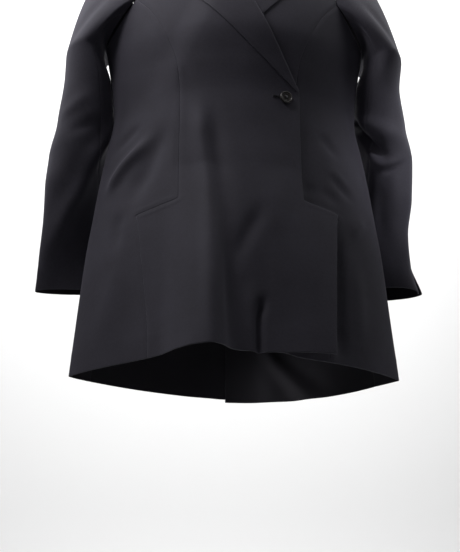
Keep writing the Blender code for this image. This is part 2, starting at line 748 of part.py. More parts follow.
def add_button(name):
    """A round button with a hollowed face and four holes, seated on the top layer."""
    across, height = BUTTON_AT
    seat = laid(over, across, height, BUTTON_LIFT)
    top = laid(over, across, height, BUTTON_LIFT + BUTTON_THICKNESS)
    builder = bmesh.new()
    circle = bmesh.ops.create_circle(
        builder, cap_ends=True, radius=BUTTON_RADIUS, segments=BUTTON_SEGMENTS
    )
    face = circle["verts"][0].link_faces[0]
    raised = bmesh.ops.extrude_face_region(builder, geom=[face])
    lifted = [item for item in raised["geom"] if isinstance(item, bmesh.types.BMVert)]
    bmesh.ops.translate(builder, verts=lifted, vec=(0.0, 0.0, BUTTON_THICKNESS))
    lid = [item for item in raised["geom"] if isinstance(item, bmesh.types.BMFace)]
    bmesh.ops.inset_region(builder, faces=lid, thickness=BUTTON_RIM, depth=-BUTTON_DISH)
    bmesh.ops.recalc_face_normals(builder, faces=builder.faces)
    made = add_object(name, builder, HORN, HORN_ROUGHNESS)
    turn = (top - seat).to_track_quat("Z", "Y")
    made.rotation_mode = "QUATERNION"
    made.rotation_quaternion = turn
    made.location = seat
    for i in range(BUTTON_HOLES):
        angle = math.tau * (i + 0.5) / BUTTON_HOLES
        cutter_builder = bmesh.new()
        bmesh.ops.create_cone(
            cutter_builder,
            cap_ends=True,
            segments=BUTTON_HOLE_SEGMENTS,
            radius1=BUTTON_HOLE_RADIUS,
            radius2=BUTTON_HOLE_RADIUS,
            depth=4.0 * BUTTON_THICKNESS,
        )
        cutter = add_object(f"{name}_hole_{i}", cutter_builder, HORN, HORN_ROUGHNESS)
        offset = Vector((math.cos(angle), math.sin(angle), 0.0)) * BUTTON_HOLE_SPREAD
        cutter.rotation_mode = "QUATERNION"
        cutter.rotation_quaternion = turn
        cutter.location = seat + turn @ offset
        cutter.hide_render = True
        cutter.display_type = "WIRE"
        cut = made.modifiers.new(f"hole_{i}", "BOOLEAN")
        cut.object = cutter
        cut.operation = "DIFFERENCE"
    return made


def main():
    for old in list(bpy.data.objects):
        bpy.data.objects.remove(old, do_unlink=True)
    add_front("front_left", 1, under_edge, under, 16)
    add_front("front_right", -1, over_edge, over, 20)
    add_side("side_left", 1, body, 12)
    add_side("side_right", -1, over, 12)
    add_back("back_left", 1, False, 9)
    add_back("back_right", -1, True, 11)
    add_lapel("lapel_left", 1, body)
    add_lapel("lapel_right", -1, over)
    for hand, side, rows in (("left", 1, SLEEVE_LEFT), ("right", -1, SLEEVE_RIGHT)):
        add_sleeve(f"sleeve_top_{hand}", rows, side, False, 12)
        add_sleeve(f"sleeve_under_{hand}", rows, side, True, 9)
    add_collar("collar")
    add_button("button")


main()
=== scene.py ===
"""Peak-lapel jacket in matte charcoal wool, filled out and hollow, lapped right over left.

Each panel is a thin closed wall on the form of its solid. Folds, pressed seams and turned edges
are soft relief on that form, and the cloth's weave is in its material.
"""

import logging
import math
from collections.abc import Callable, Sequence
from dataclasses import dataclass, field
from enum import Enum
from functools import partial

import bmesh
import bpy
import numpy as np
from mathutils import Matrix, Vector
from mathutils.kdtree import KDTree

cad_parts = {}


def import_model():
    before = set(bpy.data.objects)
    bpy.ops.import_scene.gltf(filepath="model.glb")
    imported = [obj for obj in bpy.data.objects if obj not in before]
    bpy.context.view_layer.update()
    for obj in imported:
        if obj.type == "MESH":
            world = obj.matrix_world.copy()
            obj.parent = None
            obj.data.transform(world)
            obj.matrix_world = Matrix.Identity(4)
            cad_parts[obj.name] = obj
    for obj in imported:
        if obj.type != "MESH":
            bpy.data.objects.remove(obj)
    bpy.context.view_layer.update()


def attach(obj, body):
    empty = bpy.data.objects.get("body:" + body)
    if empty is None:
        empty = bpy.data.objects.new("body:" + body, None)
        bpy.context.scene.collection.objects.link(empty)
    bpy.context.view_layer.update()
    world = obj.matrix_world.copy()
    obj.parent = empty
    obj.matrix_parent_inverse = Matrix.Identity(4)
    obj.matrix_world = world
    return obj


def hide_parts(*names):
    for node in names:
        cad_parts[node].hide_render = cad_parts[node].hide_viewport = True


LOG = logging.getLogger("jacket")

Array = np.ndarray
Surface = Callable[[Array, Array], Array]

# Driving sizes, as in the part's source
BACK_LENGTH = 0.78
CLOTH = 0.0018
LAPEL_CLOTH = 0.0016
ARMPIT = 0.58
NOTCH = 0.635
CHEST = 0.62
BREAK = 0.45
BREAK_X = 0.099
NECK_X = 0.072
NECK_HEIGHT = 0.797
SHOULDER_X = 0.205
SHOULDER_HEIGHT = 0.755
SHOULDER_Y = 0.008
GORGE_HEIGHT = 0.748
CUFF_HEIGHT = 0.158
VENT_TOP = 0.235
VENT_LAP = 0.040
VENT_UNDERLAP = 0.009
VENT_LIFT = 0.0038
VENT_CLOSING = 0.013
VENT_LIFT_LOW = 0.012
VENT_LIFT_HIGH = 0.027
VENT_LIFT_INNER = 0.014
VENT_LIFT_OUTER = 0.042
ROLL_SLOPE = (BREAK_X + NECK_X) / (NECK_HEIGHT - BREAK)
BACK_SEAM_LOW = 118.0
BACK_SEAM_TURN = 0.30

# Gaps in the seams: degrees round the body, and metres at the shoulder
SEAM_GAP_ANGLE = 0.012
SHOULDER_GAP = 0.0001
SHOULDER_GAP_START = 0.9

# How finely forms are sampled
SLOPE_STEP = 0.001
NORMAL_STEP = 0.0015
FOLD_SAMPLES = 40
FOLD_REACH = 3.0
FOLD_MARGIN = 0.02
EDGE_STEP = 0.0004
CLOSE_RUN = (0.0, 0.00022, 0.0005, 0.0009, 0.0014, 0.0021, 0.0031, 0.0046, 0.0066)

# Slow unevenness of the cloth: the shortest wave, and the greatest heights
RIPPLE_SEED = 11
RIPPLE_WAVES = 7
RIPPLE_SIZE = 0.075
RIPPLE_SPREAD = 2.6
RIPPLE_FLAT = (1.0, 1.0, 0.55)
UNEVEN = 0.0009
COLLAR_UNEVEN = 0.0004

# How the wall turns at its edges
FLAT_FAR = 0.09
INNER_TURN = 0.6


class Side(Enum):
    """A side of the wearer, as the sign of X."""

    LEFT = 1
    RIGHT = -1

    @property
    def word(self) -> str:
        """The side's name as it stands in the names of pieces."""
        return self.name.lower()


def smooth(low: float, high: float, value: Array | float) -> Array:
    """A soft step from 0 at low to 1 at high."""
    share = np.clip((np.asarray(value, float) - low) / (high - low), 0.0, 1.0)
    return share * share * (3.0 - 2.0 * share)


def lerp(start: Array | float, end: Array | float, share: Array | float) -> Array:
    """The value a share of the way from start to end."""
    return start + (end - start) * share


def stack(x: Array, y: Array, z: Array) -> Array:
    """Points from their three coordinates."""
    return np.stack(np.broadcast_arrays(x, y, z), -1).astype(float)


def unit(vectors: Array) -> Array:
    """The vectors at length 1."""
    length = np.linalg.norm(vectors, axis=-1, keepdims=True)
    return vectors / np.maximum(length, 1e-12)


def level_slopes(slopes: Array) -> Array:
    """Slopes at inner points, from those of the spans beside them, that never overshoot."""
    before, after = slopes[:-1], slopes[1:]
    same = before * after > 0.0
    return np.where(same, 2.0 * before * after / np.where(same, before + after, 1.0), 0.0)


def bent(t: Array, width: Array | float, ends: Sequence[Array], slopes: Sequence[Array]) -> Array:
    """A point on a cubic span.

    Args:
        t: the share of the way along it.
        width: the span's length in its key.
        ends: its two end values.
        slopes: the slopes there.

    Returns:
        The values.
    """
    t2, t3 = t * t, t * t * t
    return (
        (2 * t3 - 3 * t2 + 1) * ends[0]
        + (t3 - 2 * t2 + t) * width * slopes[0]
        + (3 * t2 - 2 * t3) * ends[1]
        + (t3 - t2) * width * slopes[1]
    )


class Table:
    """A table with named columns, read between its rows on curves that never overshoot them."""

    def __init__(self, columns: str, *rows: Sequence[float]) -> None:
        """Keep the rows, whose first value is the key.

        Args:
            columns: names of the columns after the key.
            rows: key and values, in rising order of the key.
        """
        data = np.array(rows, float)
        self.keys = data[:, 0]
        self.values = {name: data[:, i + 1] for i, name in enumerate(columns.split())}

    def at(self, key: Array | float, column: str = "value") -> Array:
        """A column's value at each key.

        Args:
            key: where to read it.
            column: which column to read.

        Returns:
            The values, in the shape of key.
        """
        keys, values = self.keys, self.values[column]
        slopes = np.diff(values) / np.diff(keys)
        tangents = np.zeros_like(values)
        tangents[0], tangents[-1] = slopes[0], slopes[-1]
        tangents[1:-1] = level_slopes(slopes)
        x = np.clip(np.asarray(key, float), keys[0], keys[-1])
        i = np.clip(np.searchsorted(keys, x, side="left") - 1, 0, len(keys) - 2)
        width = keys[i + 1] - keys[i]
        return bent((x - keys[i]) / width, width, (values[i], values[i + 1]),
                    (tangents[i], tangents[i + 1]))


SECTIONS = Table(
    "half_width front_depth back_depth flatness",
    (0.00, 0.2555, 0.140, 0.142, 0.88),
    (0.06, 0.2505, 0.137, 0.137, 0.86),
    (0.13, 0.2450, 0.133, 0.131, 0.82),
    (0.20, 0.2385, 0.128, 0.124, 0.76),
    (0.26, 0.2305, 0.122, 0.115, 0.68),
    (0.32, 0.2225, 0.115, 0.105, 0.60),
    (0.38, 0.2135, 0.109, 0.095, 0.50),
    (0.44, 0.2040, 0.107, 0.089, 0.40),
    (0.50, 0.2090, 0.116, 0.094, 0.32),
    (0.56, 0.2190, 0.126, 0.104, 0.27),
    (0.62, 0.2280, 0.120, 0.108, 0.25),
    (0.68, 0.2330, 0.103, 0.102, 0.25),
    (0.74, 0.2360, 0.076, 0.089, 0.25),
    (0.80, 0.2380, 0.050, 0.070, 0.25),
)
FRONT_SEAM = Table(
    "value",
    (0.0000, 0.1330), (0.0550, 0.1355), (0.1150, 0.1420), (0.1770, 0.1495),
    (0.2270, 0.1550), (0.2370, 0.1575), (0.2445, 0.1200), (0.2510, 0.0935),
    (0.2620, 0.0930), (0.3500, 0.0930), (0.4500, 0.0940), (0.5000, 0.1000),
    (0.5500, 0.1180), (0.6000, 0.1430), (0.6350, 0.1700),
)
FREE_EDGE = Table(
    "value",
    (0.000, 0.1355), (0.110, 0.1428), (0.172, 0.1480), (0.228, 0.1526),
    (0.2372, 0.1542), (0.2535, 0.0990), (0.263, 0.0985), (0.350, 0.0980),
    (0.450, 0.0990),
)
ARMHOLE_FRONT = Table(
    "value",
    (0.635, 0.1700), (0.670, 0.1665), (0.700, 0.1710), (0.730, 0.1850),
    (0.755, 0.2050),
)
ARMHOLE_BACK = Table(
    "value",
    (0.635, 0.1780), (0.670, 0.1750), (0.700, 0.1785), (0.730, 0.1890),
    (0.755, 0.2050),
)
HEM_STAND_OFF = Table(
    "value",
    (-0.170, 0.000), (-0.140, 0.002), (-0.118, 0.010), (-0.090, 0.040),
    (-0.068, 0.055), (-0.045, 0.058), (-0.028, 0.048), (-0.010, 0.026),
    (0.010, 0.017), (0.035, 0.012), (0.060, 0.018), (0.100, 0.032),
    (0.136, 0.042), (0.160, 0.048),
)
UNDER_SWING = Table(
    "value",
    (-0.150, 0.004), (-0.118, 0.009), (-0.090, 0.036), (-0.068, 0.048),
    (-0.045, 0.050), (-0.028, 0.040), (-0.010, 0.018), (0.010, 0.010),
    (0.035, 0.006), (0.060, 0.006), (0.085, 0.002), (0.110, 0.000),
    (0.260, 0.000),
)
BACK_SWING = Table(
    "value",
    (-0.250, 0.000), (-0.200, -0.007), (-0.130, -0.010), (-0.060, -0.005),
    (0.000, 0.000), (0.060, 0.005), (0.140, 0.010), (0.200, 0.009),
    (0.250, 0.000),
)
SLEEVE_COLUMNS = "across back half_width half_depth turn skew front_seam back_seam"
SLEEVE_ROWS = {
    Side.LEFT: Table(
        SLEEVE_COLUMNS,
        (-0.555, 0.2570, 0.002, 0.0320, 0.0690, 0.0, 0.00, 128.0, -78.0),
        (-0.500, 0.2490, 0.008, 0.0360, 0.0630, 0.0, 0.00, 130.0, -74.0),
        (-0.440, 0.2505, 0.015, 0.0420, 0.0570, 0.0, 0.10, 134.0, -66.0),
        (-0.380, 0.2600, 0.026, 0.0425, 0.0520, 0.0, 0.22, 140.0, -54.0),
        (-0.320, 0.2590, 0.037, 0.0415, 0.0455, 5.0, 0.22, 150.0, -40.0),
        (-0.260, 0.2530, 0.049, 0.0410, 0.0375, 9.0, 0.14, 162.0, -26.0),
        (-0.205, 0.2530, 0.053, 0.0440, 0.0310, 13.0, 0.04, 172.0, -14.0),
        (-0.158, 0.2585, 0.052, 0.0490, 0.0270, 17.0, 0.00, 178.0, -6.0),
    ),
    Side.RIGHT: Table(
        SLEEVE_COLUMNS,
        (-0.555, 0.2570, 0.002, 0.0320, 0.0690, 0.0, 0.00, 128.0, -78.0),
        (-0.500, 0.2525, 0.008, 0.0395, 0.0630, 0.0, -0.06, 130.0, -74.0),
        (-0.440, 0.2540, 0.015, 0.0460, 0.0570, 0.0, -0.08, 134.0, -66.0),
        (-0.380, 0.2640, 0.026, 0.0470, 0.0520, 0.0, 0.00, 140.0, -54.0),
        (-0.320, 0.2660, 0.038, 0.0470, 0.0440, 0.0, 0.40, 150.0, -40.0),
        (-0.260, 0.2640, 0.050, 0.0500, 0.0330, 0.0, 0.50, 162.0, -26.0),
        (-0.205, 0.2635, 0.058, 0.0550, 0.0210, 0.0, 0.26, 172.0, -14.0),
        (-0.158, 0.2665, 0.063, 0.0580, 0.0140, 0.0, 0.02, 178.0, -6.0),
    ),
}
COLLAR_ROWS = Table(
    "stand lean fold across out height",
    (0.00, 0.031, 0.008, 0.0034, 0.000, 0.074, 0.7640),
    (0.25, 0.030, 0.006, 0.0034, 0.080, 0.060, 0.7710),
    (0.50, 0.025, 0.004, 0.0034, 0.113, 0.014, 0.7850),
    (0.75, 0.014, 0.001, 0.0034, 0.127, -0.030, 0.7640),
    (1.00, 0.0055, 0.000, 0.0034, 0.122, -0.055, 0.7320),
)


@dataclass(frozen=True)
class Fold:
    """A soft crease along a bent line on a piece.

    Attributes:
        path: the line's corners, each two coordinates of the surface it lies on.
        width: how wide the crease is, from its middle to where it fades.
        depth: how far it rises, or sinks where negative.
        tail: the share of its length over which each end fades.
        flare: how much wider it is at its last corner, as a share of its width.
    """

    path: tuple[tuple[float, float], ...]
    width: float
    depth: float
    tail: float = 0.35
    flare: float = 0.0

    def relief(self, points: Array, surface: Surface) -> Array:
        """How far the crease moves each point out.

        Args:
            points: places on the surface.
            surface: gives a place from the two coordinates.

        Returns:
            One distance for each point.
        """
        corners = np.array(self.path, float)
        spans = np.linspace(0.0, len(corners) - 1.0, FOLD_SAMPLES)
        line = Table("a b", *((i, *corner) for i, corner in enumerate(corners)))
        places = surface(line.at(spans, "a"), line.at(spans, "b"))
        total = np.zeros(len(points))
        for i, (start, way) in enumerate(zip(places, np.diff(places, axis=0))):
            reached = np.clip((points - start) @ way / (way @ way), 0.0, 1.0)
            share = (i + reached) / (FOLD_SAMPLES - 1.0)
            fade = smooth(0.0, self.tail, share) * smooth(0.0, self.tail, 1.0 - share)
            far = np.linalg.norm(points - start - reached[:, None] * way, axis=1)
            wide = self.width * (1.0 + self.flare * share)
            total = np.maximum(total, fade * np.exp(-((far / wide) ** 2)))
        return self.depth * total


@dataclass(frozen=True)
class Form:
    """The outer form of the body and of the layer lapped over it.

    Attributes:
        layer_gap: how far the top layer lies in front of the under layer.
        under_edge_hem: where the under layer's free edge lies at the hem.
        blend_start: how far before that edge the top layer starts to lift.
        blend_end: how far before it the top layer has lifted.
        stand_off_top: the height at which the hem starts to swing out.
        stand_off_power: how late it swings out.
        under_power: how late the under layer does.
        under_lift: how far the under layer's hem is lifted behind the top layer's.
        under_lift_top: the height at which that starts.
        under_lift_full: the swing at which it is whole.
        swing_top: the height at which the back's hem starts to swing.
        swing_turn: how soon it swings, counted from the side.
    """

    layer_gap: float = 0.0058
    under_edge_hem: float = -0.115
    blend_start: float = 0.062
    blend_end: float = 0.006
    stand_off_top: float = 0.31
    stand_off_power: float = 1.15
    under_power: float = 1.6
    under_lift: float = 0.0055
    under_lift_top: float = 0.10
    under_lift_full: float = 0.009
    swing_top: float = 0.30
    swing_turn: float = 0.2

    def shoulder_line(self, across: Array) -> Array:
        """Height of the shoulder seam, carried on in a soft arch over the neck."""
        slope = (NECK_HEIGHT - SHOULDER_HEIGHT) / (SHOULDER_X - NECK_X)
        wide = np.abs(across)
        arch = NECK_HEIGHT + slope * NECK_X / 2.0 * (1.0 - (wide / NECK_X) ** 2)
        return np.where(wide < NECK_X, arch, NECK_HEIGHT - slope * (wide - NECK_X))

    def skin(self, across: Array, height: Array, back: Array | bool = False) -> Array:
        """Points of the body's outer face.

        Args:
            across: how far to the wearer's left they lie.
            height: their heights above the hem.
            back: which of them lie on the back half.

        Returns:
            The points in the row's frame.
        """
        across, height = np.broadcast_arrays(np.asarray(across, float), np.asarray(height, float))
        half_width = SECTIONS.at(height, "half_width")
        flatness = SECTIONS.at(height, "flatness")
        front, rear = SECTIONS.at(height, "front_depth"), SECTIONS.at(height, "back_depth")
        share = np.clip(across / half_width, -1.0, 1.0)
        turn = np.sqrt(1.0 - share * share)
        shape = (1.0 - flatness) * turn + flatness * turn * turn
        swing = BACK_SWING.at(across) * np.maximum(0.0, 1.0 - height / self.swing_top)
        swing = swing * smooth(0.0, self.swing_turn, turn)
        y = np.where(back, rear * shape + swing, -front * shape)
        rise = np.clip((height - CHEST) / (self.shoulder_line(across) - CHEST), 0.0, 1.0)
        y = SHOULDER_Y + (y - SHOULDER_Y) * np.sqrt(1.0 - rise**4)
        return stack(across, y, height - BACK_LENGTH)

    def under_edge(self, height: Array) -> Array:
        """How far past the centre the under layer's free edge lies."""
        low = lerp(-self.under_edge_hem, BREAK_X, np.asarray(height) / BREAK)
        return np.where(np.asarray(height) > BREAK, self.roll_line(height), low)

    def over_edge(self, height: Array) -> Array:
        """How far past the centre the top layer's free edge lies."""
        return np.where(np.asarray(height) > BREAK, self.roll_line(height), FREE_EDGE.at(height))

    def roll_line(self, height: Array) -> Array:
        """How far the front edge reaches past the centre, along the break of the lapel."""
        return BREAK_X - ROLL_SLOPE * (np.asarray(height) - BREAK)

    def over(self, across: Array, height: Array) -> Array:
        """Points of the top layer's outer face, which hangs in front of the body."""
        across, height = np.broadcast_arrays(np.asarray(across, float), np.asarray(height, float))
        edge = -self.under_edge(height)
        layer = self.layer_gap * smooth(0.0, 1.0, (across - edge + self.blend_start)
                                        / (self.blend_start - self.blend_end))
        share = np.maximum(0.0, 1.0 - height / self.stand_off_top)
        off = layer + HEM_STAND_OFF.at(across) * share**self.stand_off_power
        return self.skin(across, height) - stack(np.zeros_like(off), off, np.zeros_like(off))

    def under(self, across: Array, height: Array) -> Array:
        """Points of the under layer's outer face, which swings out behind the top layer's hem."""
        across, height = np.broadcast_arrays(np.asarray(across, float), np.asarray(height, float))
        share = np.maximum(0.0, 1.0 - height / self.stand_off_top)
        swing = UNDER_SWING.at(across)
        off = swing * share**self.under_power
        lift = self.under_lift * smooth(0.0, self.under_lift_full, swing)
        lift = lift * (1.0 - smooth(0.0, self.under_lift_top, height))
        return self.skin(across, height) + stack(np.zeros_like(off), -off, lift)

    def seam_angle(self, across: float, height: float, back: bool = False) -> float:
        """The angle round the body of a point, 0 at the centre front, in degrees."""
        angle = np.degrees(np.arcsin(np.minimum(1.0, across / SECTIONS.at(height, "half_width"))))
        return 180.0 - angle if back else angle


FORM = Form()
FRONT_NOTCH_ANGLE = float(FORM.seam_angle(ARMHOLE_FRONT.at(NOTCH), NOTCH))
BACK_NOTCH_ANGLE = float(FORM.seam_angle(ARMHOLE_BACK.at(NOTCH), NOTCH, True))


def seam_reach(height: Array) -> Array:
    """How far across the front's outer boundary lies."""
    return np.where(height <= NOTCH, FRONT_SEAM.at(height), ARMHOLE_FRONT.at(height))


def back_seam_angle(height: Array) -> Array:
    """The angle round the body of the seam between a side and the back."""
    return lerp(BACK_SEAM_LOW, BACK_NOTCH_ANGLE, smooth(BACK_SEAM_TURN, NOTCH, height))


@dataclass(frozen=True)
class Edge:
    """How the cloth turns at one kind of edge.

    Attributes:
        drop: how far the outer face sinks at the edge.
        width: over what distance it sinks.
        ridge: how high the bulk of the turned cloth stands beside it.
        ridge_at: how far in that bulk lies.
        ridge_width: how wide it is.
    """

    drop: float
    width: float
    ridge: float
    ridge_at: float
    ridge_width: float

    def relief(self, far: Array) -> Array:
        """How far the outer face moves at these distances from the edge."""
        near = np.clip(1.0 - far / self.width, 0.0, 1.0)
        bulk = self.ridge * np.exp(-(((far - self.ridge_at) / self.ridge_width) ** 2))
        return bulk - self.drop * (1.0 - np.sqrt(np.maximum(0.0, 1.0 - near**2)))


SEAM = Edge(0.0009, 0.0016, 0.00035, 0.0065, 0.0030)
TURNED = Edge(0.0008, 0.0011, 0.00020, 0.0050, 0.0035)
HEM = Edge(0.0008, 0.0011, 0.00022, 0.0330, 0.0045)
CUFF = Edge(0.0008, 0.0011, 0.00022, 0.0300, 0.0045)
ROLL = Edge(0.0010, 0.0040, 0.0, 0.0050, 0.0035)


def spaced(length: float, step: float) -> Array:
    """Shares along a length, close together near its ends.

    Args:
        length: the length in metres.
        step: the spacing in its middle.

    Returns:
        Rising shares from 0 to 1.
    """
    close = np.array(CLOSE_RUN)
    count = max(2, round((length - 2.0 * close[-1]) / step))
    middle = np.linspace(close[-1], length - close[-1], count)
    shares = np.concatenate([close[:-1], middle, length - close[-2::-1]]) / length
    shares[-1] = 1.0
    return shares


@dataclass
class Wall:
    """A closed cloth wall over two coordinates.

    Attributes:
        name: the piece's name.
        surface: gives outer points from arrays of u and v, with u to the right from outside.
        columns: rising values of u.
        rows: rising values of v.
        relief: extra height over the surface at points on it.
        edges: the kind of each edge: left, right, bottom and top.
        thickness: the wall's thickness.
    """

    name: str
    surface: Surface
    columns: Array
    rows: Array
    relief: Callable[[Array], Array]
    edges: tuple[Edge, Edge, Edge, Edge] = (SEAM, SEAM, HEM, SEAM)
    thickness: float = CLOTH

    def normals(self, u: Array, v: Array) -> Array:
        """Outward normals of the plain surface."""
        step_u = (self.columns[-1] - self.columns[0]) * NORMAL_STEP
        step_v = (self.rows[-1] - self.rows[0]) * NORMAL_STEP
        low_v = np.clip(v - step_v, self.rows[0], self.rows[-1])
        high_v = np.clip(v + step_v, self.rows[0], self.rows[-1])
        sideways = self.surface(u + step_u, v) - self.surface(u - step_u, v)
        upwards = self.surface(u, high_v) - self.surface(u, low_v)
        return unit(np.cross(sideways, upwards))

    def edge_relief(self, base: Array) -> tuple[Array, Array]:
        """The relief that the four edges give, on a grid of base points.

        Args:
            base: the plain surface's points, rows by columns.

        Returns:
            The relief, and each point's distance from the nearest edge.
        """
        flat = base.reshape(-1, 3)
        total = np.zeros(len(flat))
        nearest = np.full(len(flat), FLAT_FAR)
        borders = (base[:, 0], base[:, -1], base[0], base[-1])
        for border, edge in zip(borders, self.edges):
            line = resampled(border)
            tree = KDTree(len(line))
            for i, place in enumerate(line):
                tree.insert(place, i)
            tree.balance()
            far = np.array([tree.find(place)[2] for place in flat])
            total += edge.relief(far)
            nearest = np.minimum(nearest, far)
        shape = base.shape[:2]
        return total.reshape(shape), nearest.reshape(shape)

    def build(self) -> bpy.types.Object:
        """The wall as an object with a map in metres and an edge attribute."""
        columns, rows = np.asarray(self.columns), np.asarray(self.rows)
        u, v = np.meshgrid(columns, rows)
        base = self.surface(u.ravel(), v.ravel())
        normal = self.normals(u.ravel(), v.ravel())
        lift = self.relief(base)
        grid = base.reshape(len(rows), len(columns), 3)
        turned, nearest = self.edge_relief(grid)
        outer = base + normal * (lift + turned.ravel())[:, None]
        pinch = np.minimum(0.0, turned.ravel()) * INNER_TURN
        inner = base + normal * (lift - self.thickness - pinch)[:, None]
        arc_v, arc_u = arcs(grid), arcs(grid.swapaxes(0, 1)).T
        arc_u = arc_u - arc_u[:, -1:] / 2.0
        maps = np.stack([arc_u, arc_v], -1).reshape(-1, 2)
        return slab(self.name, len(columns), len(rows), outer, inner, maps, nearest.ravel())


def arcs(points: Array) -> Array:
    """How far each point lies along the lines that run down the first axis."""
    steps = np.linalg.norm(np.diff(points, axis=0), axis=-1)
    return np.concatenate([np.zeros_like(steps[:1]), np.cumsum(steps, axis=0)])


def resampled(line: Array) -> Array:
    """Points along a line of points, at a close and even spacing."""
    lengths = arcs(line)
    count = max(2, int(lengths[-1] / EDGE_STEP))
    at = np.linspace(0.0, lengths[-1], count)
    return np.stack([np.interp(at, lengths, line[:, k]) for k in range(3)], -1)


def slab(name: str, across: int, down: int, outer: Array, inner: Array, maps: Array,
         nearest: Array) -> bpy.types.Object:
    """A closed wall: a grid given thickness, whose two faces take the given points.

    Args:
        name: the object's name.
        across: how many points a row has.
        down: how many rows there are.
        outer: points of the outer face, row by row.
        inner: points of the inner face.
        maps: the map of each point, in metres.
        nearest: each point's distance from the nearest edge.

    Returns:
        The object, at the origin.
    """
    builder = bmesh.new()
    bmesh.ops.create_grid(builder, x_segments=across - 1, y_segments=down - 1, size=1.0)
    bmesh.ops.solidify(builder, geom=builder.faces[:], thickness=1.0)
    low = min(vert.co.z for vert in builder.verts)
    high = max(vert.co.z for vert in builder.verts)
    middle = (low + high) / 2.0
    map_layer = builder.loops.layers.uv.new("cloth")
    edge_layer = builder.verts.layers.float.new("edge_distance")
    # Marks the inner face, which the wool's material darkens as painted shade.
    side_layer = builder.verts.layers.float.new("wrong_side")
    builder.verts.ensure_lookup_table()
    order = {}
    for vert in builder.verts:
        i = round((vert.co.x + 1.0) / 2.0 * (across - 1))
        j = round((vert.co.y + 1.0) / 2.0 * (down - 1))
        order[vert.index] = (j * across + i, vert.co.z > middle)
    for vert in builder.verts:
        index, is_outer = order[vert.index]
        vert.co = outer[index] if is_outer else inner[index]
        vert[edge_layer] = nearest[index]
        vert[side_layer] = 0.0 if is_outer else 1.0
    for face in builder.faces:
        for loop in face.loops:
            loop[map_layer].uv = maps[order[loop.vert.index][0]]
    return finished(name, builder)


def ripple(points: Array, reach: float) -> Array:
    """Slow unevenness of cloth that hangs, from a few waves in fixed random directions.

    Args:
        points: places on the cloth.
        reach: the greatest height.

    Returns:
        One height for each point.
    """
    draw = np.random.default_rng(RIPPLE_SEED)
    total = np.zeros(len(points))
    for _ in range(RIPPLE_WAVES):
        turn = draw.uniform(-1.0, 1.0, 3) * np.array(RIPPLE_FLAT)
        turn /= np.linalg.norm(turn)
        length = RIPPLE_SIZE * draw.uniform(1.0, RIPPLE_SPREAD)
        total += np.sin(points @ turn * (math.tau / length) + draw.uniform(0.0, math.tau))
    return total * reach / RIPPLE_WAVES


@dataclass(frozen=True)
class Drape:
    """The cloth of one layer of the body: its form, and the creases and unevenness on it.

    Attributes:
        form: gives plain points from across and height.
        folds: the creases, in across and height.
        reach: the greatest height of the unevenness.
    """

    form: Surface
    folds: tuple[Fold, ...]
    reach: float = UNEVEN

    def relief(self, points: Array) -> Array:
        """How far the layer's cloth stands over its plain form at these points."""
        total = ripple(points, self.reach)
        for fold in self.folds:
            near = box_near(points, fold, self.form)
            if near.any():
                total[near] += fold.relief(points[near], self.form)
        return total


def box_near(points: Array, fold: Fold, surface: Surface) -> Array:
    """Which points lie close enough to a fold to be moved by it."""
    corners = np.array(fold.path, float)
    places = surface(corners[:, 0], corners[:, 1])
    margin = FOLD_REACH * fold.width * (1.0 + fold.flare) + FOLD_MARGIN
    low, high = places.min(0) - margin, places.max(0) + margin
    return ((points > low) & (points < high)).all(1)


FRONT_FOLDS_OVER = (
    Fold(((-0.207, 0.292), (-0.194, 0.313), (-0.179, 0.333), (-0.158, 0.353), (-0.130, 0.386)),
         0.0105, 0.0086, 0.30),
    Fold(((-0.205, 0.362), (-0.176, 0.386), (-0.155, 0.404)), 0.010, -0.0030, 0.40),
    Fold(((-0.120, 0.398), (-0.127, 0.362), (-0.139, 0.327), (-0.155, 0.290), (-0.176, 0.250)),
         0.0170, -0.0066, 0.36),
    Fold(((-0.180, 0.255), (-0.187, 0.221), (-0.188, 0.180)), 0.012, -0.0036, 0.40),
    Fold(((-0.062, 0.430), (-0.058, 0.380), (-0.052, 0.330), (-0.047, 0.286), (-0.044, 0.200),
          (-0.044, 0.080), (-0.044, -0.060)), 0.0150, 0.0080, 0.22),
    Fold(((0.006, 0.180), (0.004, 0.100), (0.004, 0.000), (0.004, -0.060)), 0.0200, -0.0032),
    Fold(((-0.046, 0.440), (-0.040, 0.360), (-0.034, 0.300), (-0.026, 0.230), (-0.018, 0.150),
          (-0.016, 0.069), (-0.016, -0.060)), 0.0150, -0.0054, 0.22),
    Fold(((0.034, 0.245), (0.024, 0.214), (0.012, 0.188), (0.000, 0.158), (-0.012, 0.110)),
         0.0120, -0.0042, 0.35),
    Fold(((0.062, 0.300), (0.050, 0.235), (0.044, 0.180)), 0.020, 0.0020, 0.40),
    Fold(((0.034, 0.088), (0.029, 0.066), (0.026, 0.045), (0.026, 0.010), (0.028, -0.040)),
         0.0056, -0.0082, 0.25),
    Fold(((0.018, 0.115), (0.013, 0.060), (0.012, 0.000), (0.013, -0.030)), 0.0090, 0.0024, 0.25),
    Fold(((-0.205, 0.030), (-0.200, 0.090), (-0.190, 0.150)), 0.018, 0.0016),
    Fold(((-0.1045, 0.250), (-0.1045, 0.330), (-0.1050, 0.430)), 0.0040, 0.0010, 0.30),
)
